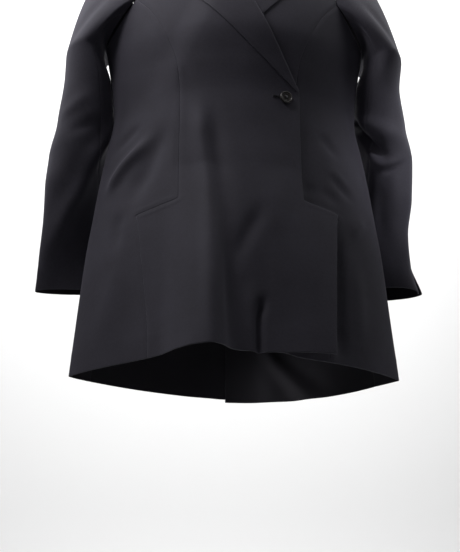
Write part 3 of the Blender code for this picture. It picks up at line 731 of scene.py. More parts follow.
FRONT_FOLDS_UNDER = (
    Fold(((0.136, 0.384), (0.147, 0.370), (0.166, 0.352)), 0.009, -0.0026),
    Fold(((0.120, 0.290), (0.110, 0.278), (0.103, 0.268)), 0.009, -0.0020, 0.45),
    Fold(((0.128, 0.282), (0.146, 0.274), (0.160, 0.262)), 0.009, -0.0018, 0.45),
    Fold(((0.150, 0.316), (0.157, 0.306), (0.174, 0.290), (0.190, 0.281)), 0.008, -0.0028),
    Fold(((0.150, 0.328), (0.164, 0.312), (0.182, 0.300)), 0.009, 0.0018, 0.40),
    Fold(((0.206, 0.256), (0.192, 0.236), (0.180, 0.214)), 0.012, 0.0026, 0.40),
    Fold(((0.150, 0.000), (0.151, 0.060), (0.153, 0.140), (0.158, 0.238)), 0.0090, -0.0078, 0.26),
    Fold(((0.185, 0.020), (0.187, 0.100), (0.180, 0.190)), 0.015, 0.0020),
)
BACK_FOLDS = (
    Fold(((0.044, 0.118), (0.060, 0.082), (0.094, 0.040), (0.130, 0.002), (0.150, -0.020)),
         0.0100, -0.0125, 0.35, 1.0),
    Fold(((0.050, 0.090), (0.062, 0.045), (0.072, 0.000), (0.080, -0.040)), 0.0150, -0.0070,
         0.40, 1.0),
    Fold(((-0.060, 0.520), (-0.100, 0.470), (-0.150, 0.430)), 0.016, -0.0030),
    Fold(((-0.050, 0.480), (-0.100, 0.435), (-0.160, 0.400)), 0.015, 0.0022),
    Fold(((0.070, 0.505), (0.110, 0.462), (0.155, 0.440)), 0.014, -0.0026),
    Fold(((0.055, 0.455), (0.105, 0.420), (0.150, 0.405)), 0.017, 0.0020),
    Fold(((-0.120, 0.640), (-0.140, 0.590), (-0.145, 0.530)), 0.014, -0.0024),
    Fold(((0.118, 0.650), (0.138, 0.600), (0.150, 0.545)), 0.013, -0.0028),
    Fold(((0.090, 0.010), (0.085, 0.110), (0.070, 0.200)), 0.020, 0.0020),
    Fold(((-0.105, 0.010), (-0.100, 0.090), (-0.085, 0.170)), 0.018, -0.0018),
)

UNDER = Drape(FORM.under, FRONT_FOLDS_UNDER)
OVER = Drape(FORM.over, FRONT_FOLDS_OVER)


def back_skin(across: Array, height: Array) -> Array:
    """Points of the back half of the body."""
    return FORM.skin(across, height, True)


BACK = Drape(back_skin, BACK_FOLDS)


def end_shares(length: float, step: float) -> Array:
    """Shares from 0 to 1 that are close together only near 1."""
    shares = spaced(2.0 * length, step)
    upper = shares[shares > 0.5] * 2.0 - 1.0
    return np.concatenate([[0.0], upper])


def panel_height(row: Array, top: Array | float) -> Array:
    """Heights of a panel's rows: 0 at the hem, the break at 1 and the given top at 2."""
    return np.where(row > 1.0, lerp(BREAK, top, row - 1.0), row * BREAK)


def panel_rows(step: float, band: tuple[float, float], band_step: float, top: float) -> Array:
    """Rows of a panel: from 0 at the hem to 1 at the break, and on to 2 at its top.

    Args:
        step: the plain spacing.
        band: a band's lower and upper height.
        band_step: the spacing inside the band.
        top: the length from the break to the top.

    Returns:
        Rising values, close together at the hem, in the band and at the top.
    """
    low, high = band
    first = CLOSE_RUN[-1]
    below = np.linspace(first, low, round((low - first) / step) + 1)
    inside = np.linspace(low, high, round((high - low) / band_step) + 1)
    above = np.linspace(high, BREAK, round((BREAK - high) / step) + 1)
    heights = np.concatenate([CLOSE_RUN[:-1], below[:-1], inside[:-1], above])
    return np.concatenate([heights / BREAK, 1.0 + end_shares(top, step)[1:]])


@dataclass(frozen=True)
class Shell:
    """The body's panels: two fronts, two sides and two backs.

    Attributes:
        step: the spacing of the cloth's points.
        hip_band: the heights between which the hip seam steps outward.
        hip_step: the spacing there.
        vent_band: the heights over which the vent closes.
        vent_step: the spacing there.
        top: a front's or back's length above the break.
        side_top: a side's length above the break.
        side_parts: a side's widths before and behind its turn.
        under_width: the under front's width.
        over_width: the top front's width.
        back_width: a back's width.
        back_left_drop: how far the under back's centre hangs lower at the hem.
        back_left_drop_top: the height at which that ends.
        ridge_share: the share of a side's width at which it turns.
    """

    step: float = 0.0042
    hip_band: tuple[float, float] = (0.224, 0.258)
    hip_step: float = 0.0013
    vent_band: tuple[float, float] = (0.218, 0.266)
    vent_step: float = 0.0024
    top: float = 0.34
    side_top: float = 0.16
    side_parts: tuple[float, float] = (0.14, 0.07)
    under_width: float = 0.215
    over_width: float = 0.290
    back_width: float = 0.22
    back_left_drop: float = 0.006
    back_left_drop_top: float = 0.2
    ridge_share: float = 0.67

    def front(self, name: str, side: Side, edge: Callable[[Array], Array], drape: Drape,
              width: float) -> bpy.types.Object:
        """A front panel, from its free edge to its side seam.

        Args:
            name: the piece's name.
            side: the wearer's side it is on.
            edge: how far past the centre its free edge lies, by height.
            drape: the cloth it is part of.
            width: its greatest width, for the spacing of its points.

        Returns:
            The panel.
        """

        def surface(u: Array, v: Array) -> Array:
            inner_height = panel_height(v, NECK_HEIGHT)
            outer_height = panel_height(v, SHOULDER_HEIGHT)
            share = u if side is Side.LEFT else 1.0 - u
            across = side.value * lerp(-edge(inner_height), seam_reach(outer_height), share)
            place = drape.form(across, lerp(inner_height, outer_height, share))
            place[..., 1] -= SHOULDER_GAP * smooth(SHOULDER_GAP_START, 1.0, v - 1.0)
            return place

        rows = panel_rows(self.step, self.hip_band, self.hip_step, self.top)
        sides = (TURNED, SEAM) if side is Side.LEFT else (SEAM, TURNED)
        columns = spaced(width, self.step)
        return Wall(name, surface, columns, rows, drape.relief, (*sides, HEM, SEAM)).build()

    def side_panel(self, name: str, side: Side, drape: Drape) -> bpy.types.Object:
        """A side panel, from a front's seam round under the arm to the back's seam.

        Args:
            name: the piece's name.
            side: the wearer's side it is on.
            drape: the cloth of the front beside it.

        Returns:
            The panel.
        """

        def surface(u: Array, v: Array) -> Array:
            share = u if side is Side.LEFT else 1.0 - u
            height = panel_height(v, lerp(ARMPIT, NOTCH, (2.0 * share - 1.0) ** 2))
            start = panel_height(v, NOTCH)
            front_angle = FORM.seam_angle(seam_reach(start), start)
            rear_angle = back_seam_angle(start) - SEAM_GAP_ANGLE
            before = lerp(front_angle, 90.0, share / self.ridge_share)
            after = lerp(90.0, rear_angle, (share - self.ridge_share) / (1.0 - self.ridge_share))
            angle = np.where(share < self.ridge_share, before, after)
            half_width = SECTIONS.at(height, "half_width")
            across = side.value * half_width * np.sin(np.radians(angle))
            back = (angle > 90.0)[..., None]
            return np.where(back, FORM.skin(across, height, True), drape.form(across, height))

        rows = panel_rows(self.step, self.hip_band, self.hip_step, self.side_top)
        before, behind = (spaced(width, self.step) for width in self.side_parts)
        columns = np.concatenate([
            before * self.ridge_share,
            self.ridge_share + behind[1:] * (1.0 - self.ridge_share),
        ])
        columns = columns if side is Side.LEFT else 1.0 - columns[::-1]
        return Wall(name, surface, columns, rows, drape.relief).build()

    def back(self, name: str, side: Side, lapped: bool) -> bpy.types.Object:
        """A back panel. The lapped one reaches past the centre outside the other at the vent.

        Args:
            name: the piece's name.
            side: the wearer's side it is on.
            lapped: whether it is the outer one.

        Returns:
            The panel.
        """

        def surface(u: Array, v: Array) -> Array:
            share = u if side is Side.RIGHT else 1.0 - u
            outer_height = panel_height(v, SHOULDER_HEIGHT)
            angle = np.radians(back_seam_angle(outer_height) + SEAM_GAP_ANGLE)
            reach = np.where(
                outer_height > NOTCH,
                ARMHOLE_BACK.at(outer_height),
                SECTIONS.at(outer_height, "half_width") * np.sin(angle),
            )
            past = VENT_LAP if lapped else VENT_UNDERLAP
            lap = past * (1.0 - smooth(VENT_TOP - VENT_CLOSING, VENT_TOP, outer_height))
            across = lerp(-lap, reach, share)
            at_seam = lerp(0.0, SHOULDER_X, share)
            neck = lerp(BACK_LENGTH, NECK_HEIGHT, (at_seam / NECK_X) ** 2)
            seam_top = np.where(at_seam < NECK_X, neck, FORM.shoulder_line(at_seam))
            height = panel_height(v, seam_top)
            place = FORM.skin(side.value * across, height, True)
            if lapped:
                level = smooth(VENT_TOP + VENT_LIFT_LOW, VENT_TOP + VENT_LIFT_HIGH, height)
                width = 1.0 - smooth(VENT_LIFT_INNER, VENT_LIFT_OUTER, across)
                place[..., 1] += VENT_LIFT * (1.0 - level) * width
            else:
                level = 1.0 - smooth(0.0, self.back_left_drop_top, height)
                place[..., 2] -= self.back_left_drop * (1.0 - share**3) * level
            place[..., 1] += SHOULDER_GAP * smooth(SHOULDER_GAP_START, 1.0, v - 1.0)
            return place

        rows = panel_rows(self.step, self.vent_band, self.vent_step, self.top)
        return Wall(name, surface, spaced(self.back_width, self.step), rows, BACK.relief).build()


def around(angle: Array, height: Array) -> Array:
    """Points of the body's outer face, 0 at the centre front and 90 degrees at its left side."""
    radians = np.radians(angle)
    across = SECTIONS.at(height, "half_width") * np.sin(radians)
    return FORM.skin(across, height, np.cos(radians) < 0.0)


def armhole(angle: Array, side: Side) -> Array:
    """Points of the armhole, 0 at the shoulder, 90 degrees at the front and 180 below the arm."""
    radians = np.radians(angle)
    height = lerp(ARMPIT, SHOULDER_HEIGHT, (1.0 + np.cos(radians)) / 2.0)
    back = np.sin(radians) < 0.0
    across = np.where(back, ARMHOLE_BACK.at(height), ARMHOLE_FRONT.at(height))
    high = FORM.skin(side.value * across, height, back)
    middle = (FRONT_NOTCH_ANGLE + BACK_NOTCH_ANGLE) / 2.0
    end = np.where(back, BACK_NOTCH_ANGLE, FRONT_NOTCH_ANGLE)
    share = np.sqrt(np.clip((height - ARMPIT) / (NOTCH - ARMPIT), 0.0, 1.0))
    low = around(side.value * lerp(middle, end, share), height)
    return np.where((height > NOTCH)[..., None], high, low)


@dataclass(frozen=True)
class Sleeve:
    """A two-piece sleeve, whose elbow seam opens as a vent at the cuff.

    Attributes:
        side: the wearer's side it is on.
        folds: its creases, in degrees round the sleeve and share along it.
        vent_out: how far the under piece stands out at the cuff.
        vent_back: how far it stands back there.
        vent_height: the height at which the vent starts to open.
        vent_share: the share of the under piece's width that it moves.
        ease: how far the sleeve's top lies outside the armhole.
        cap_rise: how far the cap rises over the armhole.
        cap_spread: how far it stands out at the shoulder.
        cap_out: how far it stands out all round.
        cap_depth: how much deeper it is than the armhole.
        cap_drop: how much lower its front and back bend than its top.
        cap_share: the share of the length that the cap takes.
        gap_angle: half the gap in each seam, in degrees.
        rest: how far the sleeve is pressed in where it rests on the body.
        rest_angle: where round the sleeve that is.
        rest_width: how wide that is, in degrees.
        rest_low: the heights over which it starts.
        rest_high: the heights over which it ends.
        cuff_rise: how far the cuff's back edge is lifted.
        cuff_rise_top: the height at which that starts.
    """

    side: Side
    folds: tuple[Fold, ...]
    vent_out: float
    vent_back: float
    vent_height: float = 0.240
    vent_share: float = 0.45
    ease: float = 0.0006
    cap_rise: float = 0.003
    cap_spread: float = 0.052
    cap_out: float = 0.004
    cap_depth: float = 1.12
    cap_drop: float = 0.3
    cap_share: float = 0.22
    gap_angle: float = 0.04
    rest: float = 0.007
    rest_angle: float = 205.0
    rest_width: float = 32.0
    rest_low: tuple[float, float] = (0.34, 0.40)
    rest_high: tuple[float, float] = (0.53, 0.575)
    cuff_rise: float = 0.0
    cuff_rise_top: float = 0.30
    step: float = 0.0040
    top_width: float = 0.19
    under_width: float = 0.16
    length: float = 0.60

    def ring(self, angle: Array, height: Array) -> Array:
        """Points round the sleeve at each height above the body's hem."""
        rows = SLEEVE_ROWS[self.side]
        radians, level = np.radians(angle), -np.asarray(height)
        wide = rows.at(level, "half_width") * np.cos(radians)
        deep = rows.at(level, "half_depth") * np.sin(radians)
        turn = np.radians(rows.at(level, "turn"))
        across = rows.at(level, "across") + wide * np.cos(turn) - deep * np.sin(turn)
        out = rows.at(level, "back") - wide * np.sin(turn) - deep * np.cos(turn)
        off = (np.asarray(angle) - self.rest_angle + 180.0) % 360.0 - 180.0
        rest = self.rest * np.exp(-((off / self.rest_width) ** 2))
        rest = rest * smooth(*self.rest_low, height) * (1.0 - smooth(*self.rest_high, height))
        out = out - rows.at(level, "skew") * wide
        low = smooth(-self.cuff_rise_top, -CUFF_HEIGHT, level)
        rise = self.cuff_rise * low * np.maximum(0.0, np.sin(radians))
        return stack(self.side.value * (across - rest), out, height - BACK_LENGTH + rise)

    def place(self, angle: Array, along: Array) -> Array:
        """Points of the sleeve, from the armhole at 0 to the cuff at 1."""
        angle, along = np.broadcast_arrays(np.asarray(angle, float), np.asarray(along, float))
        top = -SLEEVE_ROWS[self.side].keys[0]
        sign, radians = self.side.value, np.radians(angle)
        share = np.clip((along - self.cap_share) / (1.0 - self.cap_share), 0.0, 1.0)
        low = self.ring(angle, lerp(top, CUFF_HEIGHT, share))
        start = armhole(angle, self.side) + np.array([sign * self.ease, 0.0, 0.0])
        end = self.ring(angle, np.full_like(angle, top))
        topness = np.sqrt((1.0 + np.cos(radians)) / 2.0)
        drop = self.cap_drop * np.sin(radians) ** 2 * (start[..., 2] - end[..., 2])
        bend = stack(
            start[..., 0] + sign * (self.cap_out + self.cap_spread * topness),
            start[..., 1] * self.cap_depth,
            start[..., 2] + self.cap_rise - drop,
        )
        t = np.clip(along / self.cap_share, 0.0, 1.0)[..., None]
        high = lerp(lerp(start, bend, t), lerp(bend, end, t), t)
        return np.where((along > self.cap_share)[..., None], low, high)

    def relief(self, points: Array) -> Array:
        """How far the sleeve's cloth stands over its plain form at these points."""
        total = ripple(points, UNEVEN)
        for fold in self.folds:
            total += fold.relief(points, self.place)
        return total

    def half(self, name: str, under: bool) -> bpy.types.Object:
        """The top or under piece of the sleeve.

        Args:
            name: the piece's name.
            under: whether it is the under piece.

        Returns:
            The piece.
        """
        rows_table = SLEEVE_ROWS[self.side]
        top = -rows_table.keys[0]
        sign = self.side.value

        def surface(u: Array, v: Array) -> Array:
            along = 1.0 - v
            down = np.maximum(0.0, (along - self.cap_share) / (1.0 - self.cap_share))
            level = -lerp(top, CUFF_HEIGHT, down)
            front = rows_table.at(level, "front_seam")
            back = rows_table.at(level, "back_seam")
            start, end = (front, back + 360.0) if under else (back, front)
            share = u if self.side is Side.RIGHT else 1.0 - u
            angle = lerp(start + self.gap_angle, end - self.gap_angle, share)
            place = self.place(angle, along)
            if under:
                opening = smooth(-self.vent_height, -CUFF_HEIGHT, level)
                opening = opening * smooth(self.vent_share, 1.0, share)
                place[..., 0] += sign * self.vent_out * opening
                place[..., 1] += self.vent_back * opening
            return place

        columns = spaced(self.under_width if under else self.top_width, self.step)
        rows = spaced(self.length, self.step)
        return Wall(name, surface, columns, rows, self.relief, (SEAM, SEAM, CUFF, SEAM)).build()


LEFT_SLEEVE_FOLDS = (
    Fold(((200.0, 0.385), (184.0, 0.405), (168.5, 0.434), (151.3, 0.470), (138.0, 0.500),
          (120.0, 0.542), (96.6, 0.577)), 0.0070, -0.0098, 0.20),
    Fold(((205.0, 0.380), (188.0, 0.408), (172.0, 0.432), (158.0, 0.458)), 0.0080, -0.0080, 0.40),
    Fold(((168.0, 0.410), (146.0, 0.440), (116.0, 0.474), (92.0, 0.500), (50.0, 0.522)),
         0.0150, 0.0064, 0.35),
    Fold(((152.0, 0.500), (140.3, 0.542), (125.9, 0.578), (104.5, 0.597), (82.5, 0.590),
          (58.0, 0.566)), 0.0070, 0.0038, 0.30),
    Fold(((108.0, 0.620), (92.0, 0.614), (76.0, 0.601), (52.0, 0.574)), 0.0055, -0.0034, 0.35),
    Fold(((88.0, 0.610), (80.0, 0.650), (72.0, 0.720), (64.0, 0.810), (57.0, 0.910)),
         0.0110, 0.0026, 0.35),
    Fold(((118.0, 0.640), (106.0, 0.700), (98.0, 0.790), (92.0, 0.880)), 0.0100, -0.0022, 0.40),
    Fold(((-60.0, 0.430), (-95.0, 0.470), (-130.0, 0.480)), 0.0110, -0.0040, 0.40),
    Fold(((-50.0, 0.520), (-90.0, 0.560), (-125.0, 0.555)), 0.0120, 0.0030, 0.40),
    Fold(((70.0, 0.090), (60.0, 0.160), (45.0, 0.230)), 0.0120, -0.0024, 0.40),
    Fold(((-70.0, 0.100), (-60.0, 0.180), (-40.0, 0.250)), 0.0120, -0.0022, 0.40),
)
RIGHT_SLEEVE_FOLDS = (
    Fold(((178.0, 0.420), (166.0, 0.470), (150.0, 0.530), (124.0, 0.606), (101.0, 0.698),
          (80.0, 0.760), (64.0, 0.820), (46.0, 0.915), (40.0, 1.060)), 0.0150, 0.0080, 0.20),
    Fold(((128.0, 0.470), (100.0, 0.500), (66.0, 0.520)), 0.0100, -0.0022, 0.40),
    Fold(((110.0, 0.380), (72.0, 0.430), (35.0, 0.460)), 0.0110, 0.0022, 0.40),
    Fold(((-60.0, 0.460), (-95.0, 0.500), (-130.0, 0.500)), 0.0110, -0.0038, 0.40),
    Fold(((-50.0, 0.550), (-90.0, 0.585), (-125.0, 0.590)), 0.0120, 0.0026, 0.40),
    Fold(((70.0, 0.090), (60.0, 0.160), (45.0, 0.230)), 0.0120, -0.0022, 0.40),
)


@dataclass(frozen=True)
class Lapel:
    """A peak lapel, turned back flat on its front.

    Attributes:
        side: the wearer's side it is on.
        drape: the cloth it lies on.
        tip: across and height of its peak.
        notch: across and height of the notch's inner corner.
        notch_share: the share of the gorge at which that corner lies.
        notch_start: the share of the roll line at which the edge starts to bend towards it.
        belly: how far its outer edge bows out.
        belly_drop: how far it bows down, as a share of that.
        base: how far above the break it starts.
        start: its width there.
        lift: the gap to the front.
        size: its width and length.
    """

    side: Side
    drape: Drape
    tip: tuple[float, float] = (0.148, 0.722)
    notch: tuple[float, float] = (0.108, 0.700)
    notch_share: float = 0.72
    notch_start: float = 0.55
    belly: float = 0.012
    belly_drop: float = 0.6
    base: float = 0.002
    start: float = 0.005
    lift: float = 0.0008
    step: float = 0.0034
    size: tuple[float, float] = (0.17, 0.30)

    def place(self, share: Array, reach: Array) -> Array:
        """Points of the lapel, by share up its roll line and reach out from it."""
        height = lerp(BREAK + self.base, GORGE_HEIGHT, share)
        roll = -FORM.roll_line(height)
        start = -FORM.roll_line(BREAK + self.base) + self.start
        belly = self.belly * np.sin(math.pi * np.clip(share, 0.0, 1.0))
        end_across = lerp(start, self.tip[0], share) + belly
        end_height = lerp(BREAK, self.tip[1], share) - self.belly_drop * belly
        weight = smooth(self.notch_start, 1.0, share) * share
        near, far = reach / self.notch_share, (1.0 - reach) / (1.0 - self.notch_share)
        weight = weight * np.where(reach < self.notch_share, near, far)
        gorge = -FORM.roll_line(GORGE_HEIGHT)
        across = lerp(roll, end_across, reach)
        across = across + weight * (self.notch[0] - lerp(gorge, self.tip[0], self.notch_share))
        level = lerp(height, end_height, reach)
        level = level + weight * (self.notch[1] - lerp(GORGE_HEIGHT, self.tip[1], self.notch_share))
        return laid(self.drape.form, self.side.value * across, level, self.lift + LAPEL_CLOTH)

    def build(self, name: str) -> bpy.types.Object:
        """The lapel as an object."""

        def surface(u: Array, v: Array) -> Array:
            return self.place(v, u if self.side is Side.LEFT else 1.0 - u)

        sides = (ROLL, TURNED) if self.side is Side.LEFT else (TURNED, ROLL)
        columns, rows = (spaced(size, self.step) for size in self.size)
        edges = (*sides, TURNED, TURNED)
        return Wall(name, surface, columns, rows, self.drape.relief, edges, LAPEL_CLOTH).build()


def laid(surface: Surface, across: Array, height: Array, lift: float) -> Array:
    """Points lifted off a surface of across and height, along its normals."""
    sideways = surface(across + SLOPE_STEP, height) - surface(across - SLOPE_STEP, height)
    upwards = surface(across, height + SLOPE_STEP) - surface(across, height - SLOPE_STEP)
    return surface(across, height) + unit(np.cross(sideways, upwards)) * lift


@dataclass
class Collar:
    """The collar: a stand round the neck, a round fold and a fall over the shoulders.

    Attributes:
        stations: how many sections are worked out, from the centre back to the front end.
        fall: the shares of the fall's depth at which it bends.
        notch: across and height of the collar's corner at the notch.
        notch_share: the share of the fall's depth at which that corner lies.
        notch_start: the station at which the edge starts to bend towards it.
        seat_start: the station at which the stand starts to lie down on the front.
        fold_rise: how high the fold is, as a share of its half width.
        seam_gap: the gap to the neckline.
        gorge_gap: the gap to the lapel at the notch.
        end_gap: the gap to the lapel at the seam's end.
        lift: the gap to the shoulders.
        clear_centre: how far over the chest the point lies from which the fall is pushed out.
        halvings: how often the search for the shoulder's surface halves its span.
        half_length: the length from the centre back to an end.
        stand_bends: how many bends the stand and the fold have.
        stand_start: the row at which the plain spacing starts.
        stand_rows: how many rows the stand and the fold have.
        seam_rows: rows for each metre, close to the seam.
    """

    stations: int = 121
    fall: tuple[float, ...] = (0.0, 0.2, 0.4, 0.6, 0.75, 0.9, 1.0)
    notch: tuple[float, float] = (0.108, 0.700)
    notch_share: float = 0.75
    notch_start: float = 0.62
    seat_start: float = 0.55
    fold_rise: float = 0.7
    seam_gap: float = 0.0008
    gorge_gap: float = 0.0010
    end_gap: float = 0.0024
    lift: float = 0.0016
    clear_centre: float = 0.06
    halvings: int = 26
    half_length: float = 0.24
    step: float = 0.0036
    fall_length: float = 0.075
    fall_step: float = 0.0030
    stand_bends: float = 4.0
    stand_start: float = 0.30
    stand_rows: int = 24
    seam_rows: float = 120.0
    bends: Array = field(init=False)

    def __post_init__(self) -> None:
        """Work out the sections once."""
        self.bends = self.sections(np.linspace(0.0, 1.0, self.stations))

    def neckline(self, station: Array) -> Array:
        """Points of the edge that the fronts and backs leave for the collar."""
        share = np.abs(2.0 * station - 1.0)
        across = NECK_X * (1.0 - share**2)
        rear = FORM.skin(across, lerp(BACK_LENGTH, NECK_HEIGHT, (across / NECK_X) ** 2), True)
        height = lerp(NECK_HEIGHT, GORGE_HEIGHT + self.end_gap, share**2)
        front = FORM.skin(-FORM.roll_line(height), height)
        return np.where((station < 0.5)[:, None], rear, front)

    def clear(self, places: Array) -> Array:
        """The places, pushed outside the shoulders where they are too close."""
        gap = self.lift + CLOTH
        across, back = places[:, 0], places[:, 1] > SHOULDER_Y
        centre = stack(across, SHOULDER_Y, CHEST + self.clear_centre - BACK_LENGTH)
        outward = places - centre
        low, high = np.full(len(places), CHEST), FORM.shoulder_line(across)
        for _ in range(self.halvings):
            middle = (low + high) / 2.0
            skin = FORM.skin(across, middle, back) - centre
            inside = np.abs(skin[:, 1]) * outward[:, 2] > np.abs(outward[:, 1]) * skin[:, 2]
            low, high = np.where(inside, middle, low), np.where(inside, high, middle)
        skin = FORM.skin(across, low, back) - centre
        length = np.linalg.norm(skin, axis=1, keepdims=True)
        short = np.linalg.norm(outward, axis=1, keepdims=True) < length + gap
        above = (places[:, 2:3] + BACK_LENGTH) > CHEST
        return np.where(short & above, centre + skin * ((length + gap) / length), places)

    def sections(self, station: Array) -> Array:
        """The collar's bends at each station: seam, up the stand, over the fold, down the fall."""
        sizes = {name: COLLAR_ROWS.at(station, name)[:, None] for name in COLLAR_ROWS.values}
        base = self.neckline(station)
        edge = np.hstack([sizes["across"], sizes["out"], sizes["height"] - BACK_LENGTH])
        away = edge - base
        away[:, 2] = 0.0
        away = unit(away)
        seat = smooth(self.seat_start, 1.0, station)[:, None]
        skin = unit(laid(FORM.skin, base[:, 0], base[:, 2] + BACK_LENGTH, 1.0) - base)
        inward = np.tile(np.array([-1.0, 0.0, ROLL_SLOPE]), (len(station), 1))
        inward = unit(inward - skin * (inward * skin).sum(1, keepdims=True))
        upward = np.tile(np.array([0.0, 0.0, 1.0]), (len(station), 1))
        rise = unit(lerp(upward, inward, seat))
        away = unit(lerp(away, skin, seat))
        radius = sizes["fold"]
        seam = base + rise * self.seam_gap - away * CLOTH
        stand = sizes["stand"] - self.fold_rise * radius
        inside = seam + rise * stand - away * sizes["lean"]
        fold = inside + (away + rise * self.fold_rise) * radius
        outside = inside + away * 2.0 * radius
        bends = [seam, lerp(seam, inside, 0.5), inside, fold]
        notch_z = self.notch[1] + self.gorge_gap - BACK_LENGTH
        notch = stack(self.notch[0], edge[:, 1], notch_z)
        shift = notch - lerp(outside, edge, self.notch_share)
        shift = shift * smooth(self.notch_start, 1.0, station)[:, None]
        for share in self.fall:
            tent = min(share / self.notch_share, (1.0 - share) / (1.0 - self.notch_share))
            bends.append(self.clear(lerp(outside, edge, share) + shift * tent))
        return np.stack(bends, 1)

    def surface(self, u: Array, v: Array) -> Array:
        """Points of the collar, by signed station and bend."""
        slopes = np.diff(self.bends, axis=1)
        tangents = np.zeros_like(self.bends)
        tangents[:, 0], tangents[:, -1] = slopes[:, 0], slopes[:, -1]
        tangents[:, 1:-1] = level_slopes(slopes.swapaxes(0, 1)).swapaxes(0, 1)
        at = np.clip(np.abs(u), 0.0, 1.0) * (self.stations - 1)
        i = np.minimum(at.astype(int), self.stations - 2)
        j = np.clip(np.floor(v).astype(int), 0, self.bends.shape[1] - 2)
        t = (v - j)[:, None]

        def section(k: Array) -> Array:
            return bent(t, 1.0, (self.bends[k, j], self.bends[k, j + 1]),
                        (tangents[k, j], tangents[k, j + 1]))

        place = lerp(section(i), section(i + 1), (at - i)[:, None])
        past = np.maximum(0.0, np.abs(u) - 1.0)[:, None]
        place += (section(i + 1) - section(i)) * past * (self.stations - 1)
        place[:, 0] *= np.where(u < 0.0, -1.0, 1.0)
        return place

    def build(self, name: str) -> bpy.types.Object:
        """The collar as an object."""
        half = end_shares(self.half_length, self.step)
        columns = np.concatenate([-half[::-1], half[1:]])
        last = self.bends.shape[1] - 1
        rows = np.concatenate([
            np.array(CLOSE_RUN[:-1]) * self.seam_rows,
            np.linspace(self.stand_start, self.stand_bends, self.stand_rows),
            lerp(self.stand_bends, last, end_shares(self.fall_length, self.fall_step)[1:]),
        ])
        relief = partial(ripple, reach=COLLAR_UNEVEN)
        edges = (TURNED, TURNED, ROLL, TURNED)
        return Wall(name, self.surface, columns, rows, relief, edges).build()


# A strand over the button: share of the way to a hole, share of its rise, and what is added
THREAD_ARCH = (
    (-1.00, 0.0, -0.0018),
    (-0.92, 0.8, 0.0),
    (-0.50, 1.0, 0.0003),
    (0.00, 1.0, 0.0004),
    (0.50, 1.0, 0.0003),
    (0.92, 0.8, 0.0),
    (1.00, 0.0, -0.0018),
)


